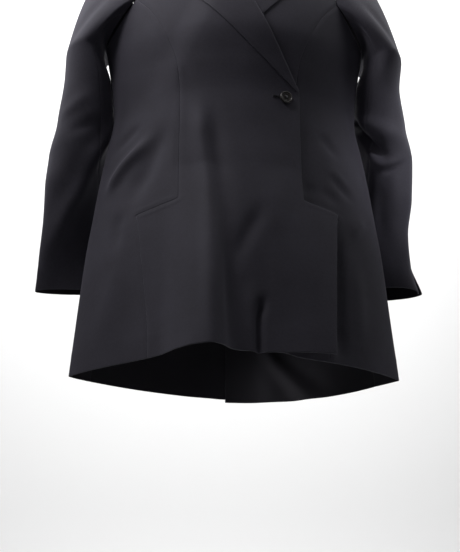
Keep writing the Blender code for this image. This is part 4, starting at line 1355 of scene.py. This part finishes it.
@dataclass(frozen=True)
class Button:
    """A round four-hole button with its thread, and the hole it goes through.

    Attributes:
        across: where its middle lies on the top layer.
        height: how high it lies above the hem.
        lift: the gap to the cloth.
        dish: how deep its face is hollowed.
        hole_spread: how far a hole's middle is from the button's.
        slit_half: half the width of the buttonhole's stitches.
        slit_start: how far past the button's middle the buttonhole starts.
        stitch: the spacing of its stitches.
        sharp: the least angle of a hard edge, in degrees.
    """

    across: float = 0.076
    height: float = 0.436
    lift: float = 0.0008
    radius: float = 0.0105
    thickness: float = 0.0038
    rim: float = 0.0022
    dish: float = 0.0009
    hole_radius: float = 0.0010
    hole_spread: float = 0.0027
    segments: int = 64
    holes: int = 4
    thread_radius: float = 0.00032
    slit_length: float = 0.024
    slit_half: float = 0.0013
    slit_start: float = 0.0028
    stitch: float = 0.00075
    stitch_radius: float = 0.00036
    sharp: float = 38.0

    def pose(self) -> tuple[Vector, Vector, Vector, Vector]:
        """The seat and the directions sideways, up and out at the button."""
        across, height = np.array([self.across]), np.array([self.height])
        out = unit(laid(FORM.over, across, height, 1.0) - FORM.over(across, height))[0]
        lift = OVER.relief(FORM.over(across, height))[0]
        seat = FORM.over(across, height)[0] + out * (lift + self.lift)
        outward = Vector(out)
        sideways = Vector((1.0, 0.0, 0.0))
        sideways = (sideways - outward * sideways.dot(outward)).normalized()
        return Vector(seat), sideways, outward.cross(sideways), outward

    def laid_out(self, builder: bmesh.types.BMesh) -> None:
        """Move a shape that was made flat at the origin to the button's place."""
        seat, sideways, upward, outward = self.pose()
        for vert in builder.verts:
            flat = vert.co.copy()
            vert.co = seat + sideways * flat.x + upward * flat.y + outward * flat.z

    def disc(self, name: str) -> bpy.types.Object:
        """The button itself: a rounded rim, a dished face and four drilled holes."""
        builder = bmesh.new()
        low, high = 0.0, self.thickness
        profile = (
            (0.0, low),
            (self.radius - 0.0009, low),
            (self.radius - 0.0002, 0.0007),
            (self.radius, 0.0016),
            (self.radius - 0.0001, 0.0026),
            (self.radius - 0.0006, high - 0.0003),
            (self.radius - 0.0012, high),
            (self.radius - self.rim + 0.0003, high - 0.0001),
            (self.radius - self.rim - 0.0002, high - self.dish * 0.8),
            (self.radius - self.rim - 0.0009, high - self.dish),
            (0.0, high - self.dish),
        )
        chain = [builder.verts.new((x, 0.0, z)) for x, z in profile]
        edges = [builder.edges.new(pair) for pair in zip(chain, chain[1:])]
        bmesh.ops.spin(
            builder,
            geom=chain + edges,
            axis=(0.0, 0.0, 1.0),
            cent=(0.0, 0.0, 0.0),
            steps=self.segments,
            angle=math.tau,
            use_merge=True,
        )
        bmesh.ops.remove_doubles(builder, verts=builder.verts, dist=1e-6)
        bmesh.ops.recalc_face_normals(builder, faces=builder.faces)
        made = finished(name, builder)
        cutters = bmesh.new()
        for i in range(self.holes):
            angle = math.tau * (i + 0.5) / self.holes
            cone = bmesh.ops.create_cone(
                cutters,
                cap_ends=True,
                segments=20,
                radius1=self.hole_radius,
                radius2=self.hole_radius,
                depth=4.0 * self.thickness,
            )
            offset = Vector((math.cos(angle), math.sin(angle), 0.0)) * self.hole_spread
            bmesh.ops.translate(cutters, verts=cone["verts"], vec=offset)
        cutter = finished(f"{name}_cutter", cutters)
        cut = made.modifiers.new("holes", "BOOLEAN")
        cut.object, cut.operation = cutter, "DIFFERENCE"
        apply_modifiers(made)
        bpy.data.objects.remove(cutter, do_unlink=True)
        moved = bmesh.new()
        moved.from_mesh(made.data)
        self.laid_out(moved)
        moved.to_mesh(made.data)
        moved.free()
        made.data.set_sharp_from_angle(angle=math.radians(self.sharp))
        return made

    def thread(self, name: str) -> bpy.types.Object:
        """Two crossing bundles of thread through the button's holes."""
        builder = bmesh.new()
        top = self.thickness - self.dish
        for turn in (0.25, 0.75):
            for strand in (-1.0, 0.0, 1.0):
                angle = math.tau * turn / 2.0
                along = Vector((math.cos(angle), math.sin(angle), 0.0))
                beside = Vector((-along.y, along.x, 0.0)) * strand * self.thread_radius * 1.7
                rise = 0.0003 + (0.0004 if turn > 0.5 else 0.0)
                points = [
                    along * (self.hole_spread * share) + beside
                    + Vector((0.0, 0.0, top + rise * part + extra))
                    for share, part, extra in THREAD_ARCH
                ]
                tube(builder, points, self.thread_radius, 8)
        self.laid_out(builder)
        return finished(name, builder)

    def buttonhole(self, name: str) -> bpy.types.Object:
        """The worked edge of the buttonhole: close stitches round a slit in the top layer."""
        builder = bmesh.new()
        half = self.slit_half
        for i in range(int(self.slit_length / self.stitch) + 1):
            x = self.slit_start - i * self.stitch
            for sign in (-1.0, 1.0):
                points = [
                    Vector((x, sign * 0.0002, -0.0001)),
                    Vector((x, sign * half * 0.55, 0.00045)),
                    Vector((x, sign * half, 0.0001)),
                    Vector((x, sign * half * 1.05, -0.0006)),
                ]
                tube(builder, points, self.stitch_radius, 6)
        for vert in builder.verts:
            vert.co.z -= self.lift
        self.laid_out(builder)
        return finished(name, builder)


def tube(builder: bmesh.types.BMesh, points: Sequence[Vector], radius: float, sides: int) -> None:
    """Add a closed round tube along a few points, by extruding one circle.

    Args:
        builder: what the tube is added to.
        points: its centre line.
        radius: its radius.
        sides: how many sides it has.
    """
    ring = bmesh.ops.create_circle(builder, cap_ends=True, radius=radius, segments=sides)["verts"]
    turn = (points[1] - points[0]).normalized().to_track_quat("Z", "Y")
    for vert in ring:
        vert.co = points[0] + turn @ vert.co
    last = len(points) - 1
    lid = ring[0].link_faces[0]
    lid.normal_flip()
    copied = bmesh.ops.extrude_face_region(builder, geom=[lid], use_keep_orig=True)
    for i in range(1, last + 1):
        heading = points[min(i + 1, last)] - points[i - 1]
        turned = heading.normalized().to_track_quat("Z", "Y")
        moved = [item for item in copied["geom"] if isinstance(item, bmesh.types.BMVert)]
        middle = sum((vert.co for vert in moved), Vector()) / len(moved)
        for vert in moved:
            flat = turn.inverted() @ (vert.co - middle)
            vert.co = points[i] + turned @ flat
        turn = turned
        if i < last:
            lid = next(item for item in copied["geom"] if isinstance(item, bmesh.types.BMFace))
            copied = bmesh.ops.extrude_face_region(builder, geom=[lid])


def finished(name: str, builder: bmesh.types.BMesh) -> bpy.types.Object:
    """An object at the origin from a built shape, shaded smooth."""
    bmesh.ops.recalc_face_normals(builder, faces=builder.faces)
    mesh = bpy.data.meshes.new(name)
    builder.to_mesh(mesh)
    builder.free()
    mesh.shade_smooth()
    made = bpy.data.objects.new(name, mesh)
    bpy.context.scene.collection.objects.link(made)
    return made


def apply_modifiers(piece: bpy.types.Object) -> None:
    """Give a piece the mesh that its modifiers make, and no modifiers."""
    graph = bpy.context.evaluated_depsgraph_get()
    mesh = bpy.data.meshes.new_from_object(piece.evaluated_get(graph))
    piece.modifiers.clear()
    piece.data = mesh


class Value:
    """A number's socket in a material, on which Python's operators add Math nodes."""

    def __init__(self, shader: "Shader", socket: bpy.types.NodeSocket) -> None:
        """Keep the socket and the material it belongs to."""
        self.shader = shader
        self.socket = socket

    def math(self, operation: str, first: object, second: object) -> "Value":
        """One Math node on two values."""
        made = self.shader.node("ShaderNodeMath", {"operation": operation}, {0: first, 1: second})
        return Value(self.shader, made.outputs[0])

    def __add__(self, other: object) -> "Value":
        """The sum."""
        return self.math("ADD", self, other)

    __radd__ = __add__

    def __mul__(self, other: object) -> "Value":
        """The product."""
        return self.math("MULTIPLY", self, other)

    def __sub__(self, other: object) -> "Value":
        """The difference."""
        return self.math("SUBTRACT", self, other)

    def __rsub__(self, other: object) -> "Value":
        """The difference, the other way round."""
        return self.math("SUBTRACT", other, self)

    def sine(self) -> "Value":
        """The sine."""
        return self.math("SINE", self, 0.0)

    def step(self, low: float, high: float) -> "Value":
        """A soft step from 0 at low to 1 at high."""
        settings = {"interpolation_type": "SMOOTHSTEP"}
        made = self.shader.node("ShaderNodeMapRange", settings, {0: self, 1: low, 2: high})
        return Value(self.shader, made.outputs[0])


class Shader:
    """A material with one Principled surface, built from a few calls."""

    def __init__(self, name: str) -> None:
        """Make the material."""
        self.material = bpy.data.materials.new(name)
        self.material.use_nodes = True
        self.tree = self.material.node_tree
        self.surface = self.tree.nodes["Principled BSDF"]

    def node(self, kind: str, settings: dict[str, object], sockets: dict) -> bpy.types.Node:
        """A node of a kind.

        Args:
            kind: its type.
            settings: properties that are set first.
            sockets: what each input takes, by name or index: a value, a socket or a Value.

        Returns:
            The node.
        """
        made = self.tree.nodes.new(kind)
        for key, value in settings.items():
            setattr(made, key, value)
        for key, value in sockets.items():
            self.feed(made.inputs[key], value)
        return made

    def feed(self, socket: bpy.types.NodeSocket, value: object) -> None:
        """Set or link one input."""
        if isinstance(value, Value):
            value = value.socket
        if isinstance(value, bpy.types.NodeSocket):
            self.tree.links.new(value, socket)
        else:
            socket.default_value = value

    def put(self, inputs: dict[str, object]) -> None:
        """Set or link inputs of the surface."""
        for key, value in inputs.items():
            self.feed(self.surface.inputs[key], value)

    def place(self) -> bpy.types.NodeSocket:
        """Where a point lies on its piece."""
        return self.node("ShaderNodeTexCoord", {}, {}).outputs["Object"]

    def parts(self, vector: bpy.types.NodeSocket) -> list[Value]:
        """The three parts of a vector."""
        made = self.node("ShaderNodeSeparateXYZ", {}, {0: vector})
        return [Value(self, socket) for socket in made.outputs]

    def attribute(self, name: str) -> Value:
        """A number that the points carry."""
        made = self.node("ShaderNodeAttribute", {"attribute_name": name}, {})
        return Value(self, made.outputs["Fac"])

    def noise(self, where: object, scale: float, detail: float = 2.0) -> Value:
        """Noise from 0 to 1 at a place."""
        inputs = {"Vector": where, "Scale": scale, "Detail": detail, "Roughness": 0.55}
        made = self.node("ShaderNodeTexNoise", {"noise_dimensions": "3D"}, inputs)
        return Value(self, made.outputs["Factor" if "Factor" in made.outputs else "Fac"])

    def mix(self, factor: object, first: object, second: object) -> bpy.types.NodeSocket:
        """A colour between two."""
        made = self.node("ShaderNodeMix", {"data_type": "RGBA"}, {0: factor, 6: first, 7: second})
        return made.outputs[2]

    def bump(self, height: object, strength: float, distance: float,
             under: object = None) -> bpy.types.NodeSocket:
        """A normal bent by a height, over another normal where one is given."""
        inputs = {"Height": height, "Strength": strength, "Distance": distance}
        if under is not None:
            inputs["Normal"] = under
        return self.node("ShaderNodeBump", {}, inputs).outputs["Normal"]


@dataclass(frozen=True)
class Wool:
    """Matte worsted wool in a fine twill.

    Attributes:
        name: the material's name.
        deep: its colour in the valleys of the weave.
        pale: its colour on the yarns.
        worn: its colour along pressed edges.
        inside_shade: painted shade, a near-black colour on the wrong side of the same cloth that
            darkens the inside of the jacket.
        sheen: the tint of its nap.
        pitch: the twill's spacing.
        lean: how far the twill leans, as across for each unit along.
        warp_pitch: the spacing of the warp.
        yarn_scale: how fine its yarns' unevenness is.
        slub_scale: how fine its slubs are.
        cloud_scale: how fine its slow change of tone is.
        wear_band: the distances from an edge between which its wear ends.
        worn_share: how much of the worn colour shows at an edge.
        inside_shade_share: how much of that painted shade covers the wrong side.
        roughness: its middle roughness.
    """

    name: str = "charcoal_wool"
    deep: tuple[float, float, float, float] = (0.0182, 0.0170, 0.0236, 1.0)
    pale: tuple[float, float, float, float] = (0.0398, 0.0378, 0.0515, 1.0)
    worn: tuple[float, float, float, float] = (0.0560, 0.0535, 0.0680, 1.0)
    inside_shade: tuple[float, float, float, float] = (0.0062, 0.0056, 0.0072, 1.0)
    sheen: tuple[float, float, float, float] = (0.62, 0.60, 0.74, 1.0)
    pitch: float = 0.0011
    lean: float = 0.9
    warp_pitch: float = 0.0006
    yarn_scale: float = 1500.0
    slub_scale: float = 260.0
    cloud_scale: float = 14.0
    wear_band: tuple[float, float] = (0.0004, 0.0026)
    worn_share: float = 0.16
    inside_shade_share: float = 0.80
    roughness: float = 0.80

    def dress(self) -> bpy.types.Material:
        """The finish as a material."""
        shader = Shader(self.name)
        maps = shader.node("ShaderNodeUVMap", {"uv_map": "cloth"}, {})
        across, along, _ = shader.parts(maps.outputs[0])
        place = shader.place()
        yarn = shader.noise(place, self.yarn_scale, 1.0)
        slub = shader.noise(place, self.slub_scale)
        cloud = shader.noise(place, self.cloud_scale, 3.0)
        turns = math.tau / self.pitch
        twill = ((across + along * self.lean) * turns + slub * 2.5).sine() * 0.5 + 0.5
        warp = (across * (math.tau / self.warp_pitch)).sine() * 0.5 + 0.5
        weave = twill * 0.55 + warp * 0.15 + yarn * 0.30
        far = shader.attribute("edge_distance")
        wear = (1.0 - far.step(*self.wear_band)) * (slub * 0.7 + 0.3)
        inner = shader.attribute("wrong_side")
        tone = weave * 0.34 + slub * 0.26 + cloud * 0.40
        base = shader.mix(tone.step(0.18, 0.82), self.deep, self.pale)
        face = shader.mix(wear * self.worn_share, base, self.worn)
        # Painted shade: the wrong side of the cloth, inside the jacket, is made near black to stand
        # for the shade there.
        colour = shader.mix(inner * self.inside_shade_share, face, self.inside_shade)
        shader.put({
            "Base Color": colour,
            "Roughness": self.roughness + (slub - 0.5) * 0.10 - wear * 0.06,
            "Specular IOR Level": 0.22,
            "Sheen Weight": 0.14,
            "Sheen Roughness": 0.42,
            "Sheen Tint": self.sheen,
        })
        fine = shader.bump(weave, 0.35, 0.00012)
        shader.put({"Normal": shader.bump(slub, 0.22, 0.00035, fine)})
        return shader.material


@dataclass(frozen=True)
class Horn:
    """Dark horn, polished with a faint cloudy grain."""

    name: str = "dark_horn"
    deep: tuple[float, float, float, float] = (0.010, 0.009, 0.009, 1.0)
    pale: tuple[float, float, float, float] = (0.042, 0.036, 0.033, 1.0)

    def dress(self) -> bpy.types.Material:
        """The finish as a material."""
        shader = Shader(self.name)
        place = shader.place()
        stretched = shader.node("ShaderNodeMapping", {}, {0: place, 3: (1.0, 1.0, 3.2)}).outputs[0]
        grain = shader.noise(stretched, 190.0, 4.0)
        fine = shader.noise(place, 1400.0, 2.0)
        shader.put({
            "Base Color": shader.mix(grain.step(0.35, 0.75), self.deep, self.pale),
            "Roughness": 0.30 + fine * 0.12 + grain * 0.08,
            "Specular IOR Level": 0.45,
        })
        shader.put({"Normal": shader.bump(fine, 0.10, 0.0001)})
        return shader.material


@dataclass(frozen=True)
class Silk:
    """Twisted thread in the cloth's own colour."""

    name: str = "silk_thread"
    deep: tuple[float, float, float, float] = (0.014, 0.014, 0.017, 1.0)
    pale: tuple[float, float, float, float] = (0.050, 0.050, 0.057, 1.0)
    pitch: float = 0.0005

    def dress(self) -> bpy.types.Material:
        """The finish as a material."""
        shader = Shader(self.name)
        place = shader.place()
        x, _, z = shader.parts(place)
        twist = ((x + z) * (math.tau / self.pitch)).sine() * 0.5 + 0.5
        fibre = shader.noise(place, 2200.0, 2.0)
        shader.put({
            "Base Color": shader.mix(twist * 0.6 + fibre * 0.4, self.deep, self.pale),
            "Roughness": 0.50 + fibre * 0.15,
            "Specular IOR Level": 0.30,
        })
        shader.put({"Normal": shader.bump(twist, 0.30, 0.0001)})
        return shader.material


@dataclass(frozen=True)
class Plain:
    """A plain pale finish for the floor and the wall behind.

    Attributes:
        name: the material's name.
        tone: its brightness on the wall.
        low_tone: its brightness on the floor.
        split: the heights between which the one turns into the other.
    """

    name: str = "studio_white"
    tone: float = 0.86
    low_tone: float = 0.55
    split: tuple[float, float] = (-1.46, -0.98)
    roughness: float = 0.9

    def dress(self) -> bpy.types.Material:
        """The finish as a material."""
        shader = Shader(self.name)
        place = shader.place()
        height = shader.parts(place)[2].step(*self.split)
        cloud = shader.noise(place, 0.7)
        low, high = ((tone, tone, tone, 1.0) for tone in (self.low_tone, self.tone))
        shader.put({"Base Color": shader.mix(height * (0.98 + cloud * 0.02), low, high),
                    "Roughness": self.roughness})
        return shader.material


@dataclass(frozen=True)
class Lamp:
    """One soft light.

    Attributes:
        name: its name.
        place: where it hangs.
        aim: the point it faces.
        size: its width, or its radius where it has a cone.
        power: its power in watts.
        cone: the full angle of its beam in radians, or 0 for a square light.
        tint: its colour.
    """

    name: str
    place: tuple[float, float, float]
    aim: tuple[float, float, float]
    size: float
    power: float
    cone: float = 0.0
    tint: tuple[float, float, float] = (1.0, 1.0, 1.0)

    def hang(self) -> None:
        """Put the light in the scene."""
        data = bpy.data.lights.new(self.name, "SPOT" if self.cone else "AREA")
        data.energy, data.color = self.power, self.tint
        if self.cone:
            data.spot_size, data.spot_blend = self.cone, 1.0
            data.shadow_soft_size = self.size
        else:
            data.shape, data.size = "SQUARE", self.size
        placed(self.name, data, Vector(self.place), Vector(self.aim) - Vector(self.place))


def placed(name: str, data: bpy.types.ID, place: Vector, heading: Vector) -> bpy.types.Object:
    """A light or camera as an object at a place, facing along a direction."""
    made = bpy.data.objects.new(name, data)
    made.location = place
    made.rotation_mode = "QUATERNION"
    made.rotation_quaternion = heading.to_track_quat("-Z", "Y")
    bpy.context.scene.collection.objects.link(made)
    return made


MIDDLE = (0.0, 0.0, -0.5)
LAMPS = (
    Lamp("key", (-0.565, -0.480, 0.380), MIDDLE, 0.28, 7.1, tint=(1.0, 0.98, 0.985)),
    Lamp("front", (-0.07, -0.80, 0.30), MIDDLE, 0.6, 0.7, tint=(1.0, 0.98, 1.0)),
    Lamp("sleeve_light", (0.90, -0.80, 0.00), (0.30, -0.02, -0.39), 0.06, 56.0, 0.28),
    Lamp("inner_light", (-0.75, -0.35, -1.25), (0.073, 0.12, -0.775), 0.06, 44.0, 0.115),
    Lamp("rim_right", (0.95, -0.05, 0.10), (0.25, 0.0, -0.4), 0.4, 1.2),
    Lamp("rim_left", (-0.95, -0.05, 0.20), (-0.25, 0.0, -0.35), 0.4, 2.4),
    Lamp("back_left", (-1.9, 1.1, 1.2), MIDDLE, 1.2, 8.0),
    Lamp("back_right", (1.9, 1.1, 1.2), MIDDLE, 1.2, 8.0),
    Lamp("top", (0.0, 0.30, 1.10), (0.0, 1.35, 0.2), 1.8, 35.0),
    Lamp("wall_wash", (0.0, 1.38, 2.46), (0.0, 3.06, 1.02), 2.9, 124.0),
)


@dataclass(frozen=True)
class Studio:
    """The pale floor and wall, the soft lights and the camera."""

    floor: float = -1.61
    wall: float = 3.06
    aim: tuple[float, float, float] = (-0.0080, 0.0004, -0.6114)
    rise: float = 20.0
    turn: float = 3.0
    distance: float = 1.6
    focal: float = 1000.0
    frame_height: float = 552.0
    sensor: float = 36.0
    bend: float = 0.96
    depth: float = 7.0
    height: float = 8.0
    half_width: float = 20.0
    air: float = 0.03

    def backdrop(self) -> None:
        """A floor that curves up into a wall, as one sheet."""
        builder = bmesh.new()
        bmesh.ops.create_grid(builder, x_segments=2, y_segments=120, size=1.0)
        radius, depth = self.bend, self.depth
        run = depth + math.pi / 2.0 * radius + self.height
        for vert in builder.verts:
            along = (vert.co.y + 1.0) / 2.0 * run
            angle = min(max((along - depth) / radius, 0.0), math.pi / 2.0)
            flat = min(along, depth)
            y = self.wall - radius - depth + flat + radius * math.sin(angle)
            z = radius * (1.0 - math.cos(angle)) + max(0.0, along - depth - radius * math.pi / 2.0)
            vert.co = Vector((vert.co.x * self.half_width, y, self.floor + z))
        made = finished("studio_backdrop", builder)
        made.data.materials.append(Plain().dress())

    def camera(self) -> None:
        """The camera at the photograph's angle: low, and a little to the viewer's left."""
        rise, turn = math.radians(self.rise), math.radians(self.turn)
        heading = Vector((math.sin(turn) * math.cos(rise), math.cos(turn) * math.cos(rise),
                          math.sin(rise)))
        data = bpy.data.cameras.new("photo_camera")
        data.sensor_fit, data.sensor_height = "VERTICAL", self.sensor
        data.sensor_width = self.sensor
        data.lens = self.sensor * self.focal / self.frame_height
        data.clip_start = 0.05
        place = Vector(self.aim) - heading * self.distance
        bpy.context.scene.camera = placed("photo_camera", data, place, heading)

    def build(self) -> None:
        """Set up the whole studio."""
        world = bpy.data.worlds.new("studio_air")
        world.use_nodes = True
        air = world.node_tree.nodes["Background"]
        air.inputs["Color"].default_value = (0.96, 0.97, 1.0, 1.0)
        air.inputs["Strength"].default_value = self.air
        bpy.context.scene.world = world
        bpy.context.scene.view_settings.view_transform = "Standard"
        self.backdrop()
        for lamp in LAMPS:
            lamp.hang()
        self.camera()


@dataclass
class Jacket:
    """The whole jacket, dressed piece by piece."""

    wool: bpy.types.Material
    horn: bpy.types.Material
    silk: bpy.types.Material

    def dress(self, piece: bpy.types.Object, node: str, finish: bpy.types.Material,
              *replaced: str) -> bpy.types.Object:
        """Give a piece its finish and body, and hide the nodes it stands for.

        Args:
            piece: the piece.
            node: not used.
            finish: its material.
            replaced: the nodes that it stands for.

        Returns:
            The piece.
        """
        piece.data.materials.clear()
        piece.data.materials.append(finish)
        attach(piece, "root")
        if replaced:
            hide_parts(*replaced)
        LOG.info("%s: %d faces, %.4f m2 of cloth", piece.name, len(piece.data.polygons),
                 sum(face.area for face in piece.data.polygons) / 2.0)
        return piece

    def cloth(self, piece: bpy.types.Object, node: str, rests_on: Sequence[str]) -> None:
        """Dress a cloth piece in the wool, in place of its node.

        Args:
            piece: the piece.
            node: the node it stands for.
            rests_on: not used.
        """
        self.dress(piece, node, self.wool, node)

    def build(self) -> None:
        """Build and dress every piece."""
        shell = Shell()
        made = shell.front("front_left_cloth", Side.LEFT, FORM.under_edge, UNDER,
                           shell.under_width)
        self.cloth(made, "front_left", ("collar", "back_left"))
        made = shell.front("front_right_cloth", Side.RIGHT, FORM.over_edge, OVER,
                           shell.over_width)
        self.cloth(made, "front_right", ("collar", "back_right"))
        for side, drape in ((Side.LEFT, UNDER), (Side.RIGHT, OVER)):
            word = side.word
            made = shell.side_panel(f"side_{word}_cloth", side, drape)
            self.cloth(made, f"side_{word}", (f"front_{word}", f"back_{word}"))
            made = shell.back(f"back_{word}_cloth", side, side is Side.RIGHT)
            self.cloth(made, f"back_{word}", ("collar", f"front_{word}"))
            made = Lapel(side, drape).build(f"lapel_{word}_cloth")
            self.cloth(made, f"lapel_{word}", (f"front_{word}",))
        sleeves = (
            Sleeve(Side.LEFT, LEFT_SLEEVE_FOLDS, 0.0065, 0.001, cuff_rise=0.005),
            Sleeve(Side.RIGHT, RIGHT_SLEEVE_FOLDS, 0.001, 0.001),
        )
        for sleeve in sleeves:
            word = sleeve.side.word
            for part, under in (("top", False), ("under", True)):
                made = sleeve.half(f"sleeve_{part}_{word}_cloth", under)
                self.cloth(made, f"sleeve_{part}_{word}", (f"front_{word}", f"back_{word}"))
        self.cloth(Collar().build("collar_cloth"), "collar", ("back_left", "back_right"))
        button = Button()
        self.dress(button.disc("button_horn"), "button", self.horn, "button")
        self.dress(button.thread("button_thread"), "button", self.silk)
        self.dress(button.buttonhole("buttonhole_thread"), "front_right", self.silk)


def main() -> None:
    """Load the frame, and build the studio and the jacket."""
    logging.basicConfig(level=logging.INFO, format="%(message)s")
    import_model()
    Studio().build()
    Jacket(Wool().dress(), Horn().dress(), Silk().dress()).build()


if __name__ == "__main__":
    main()
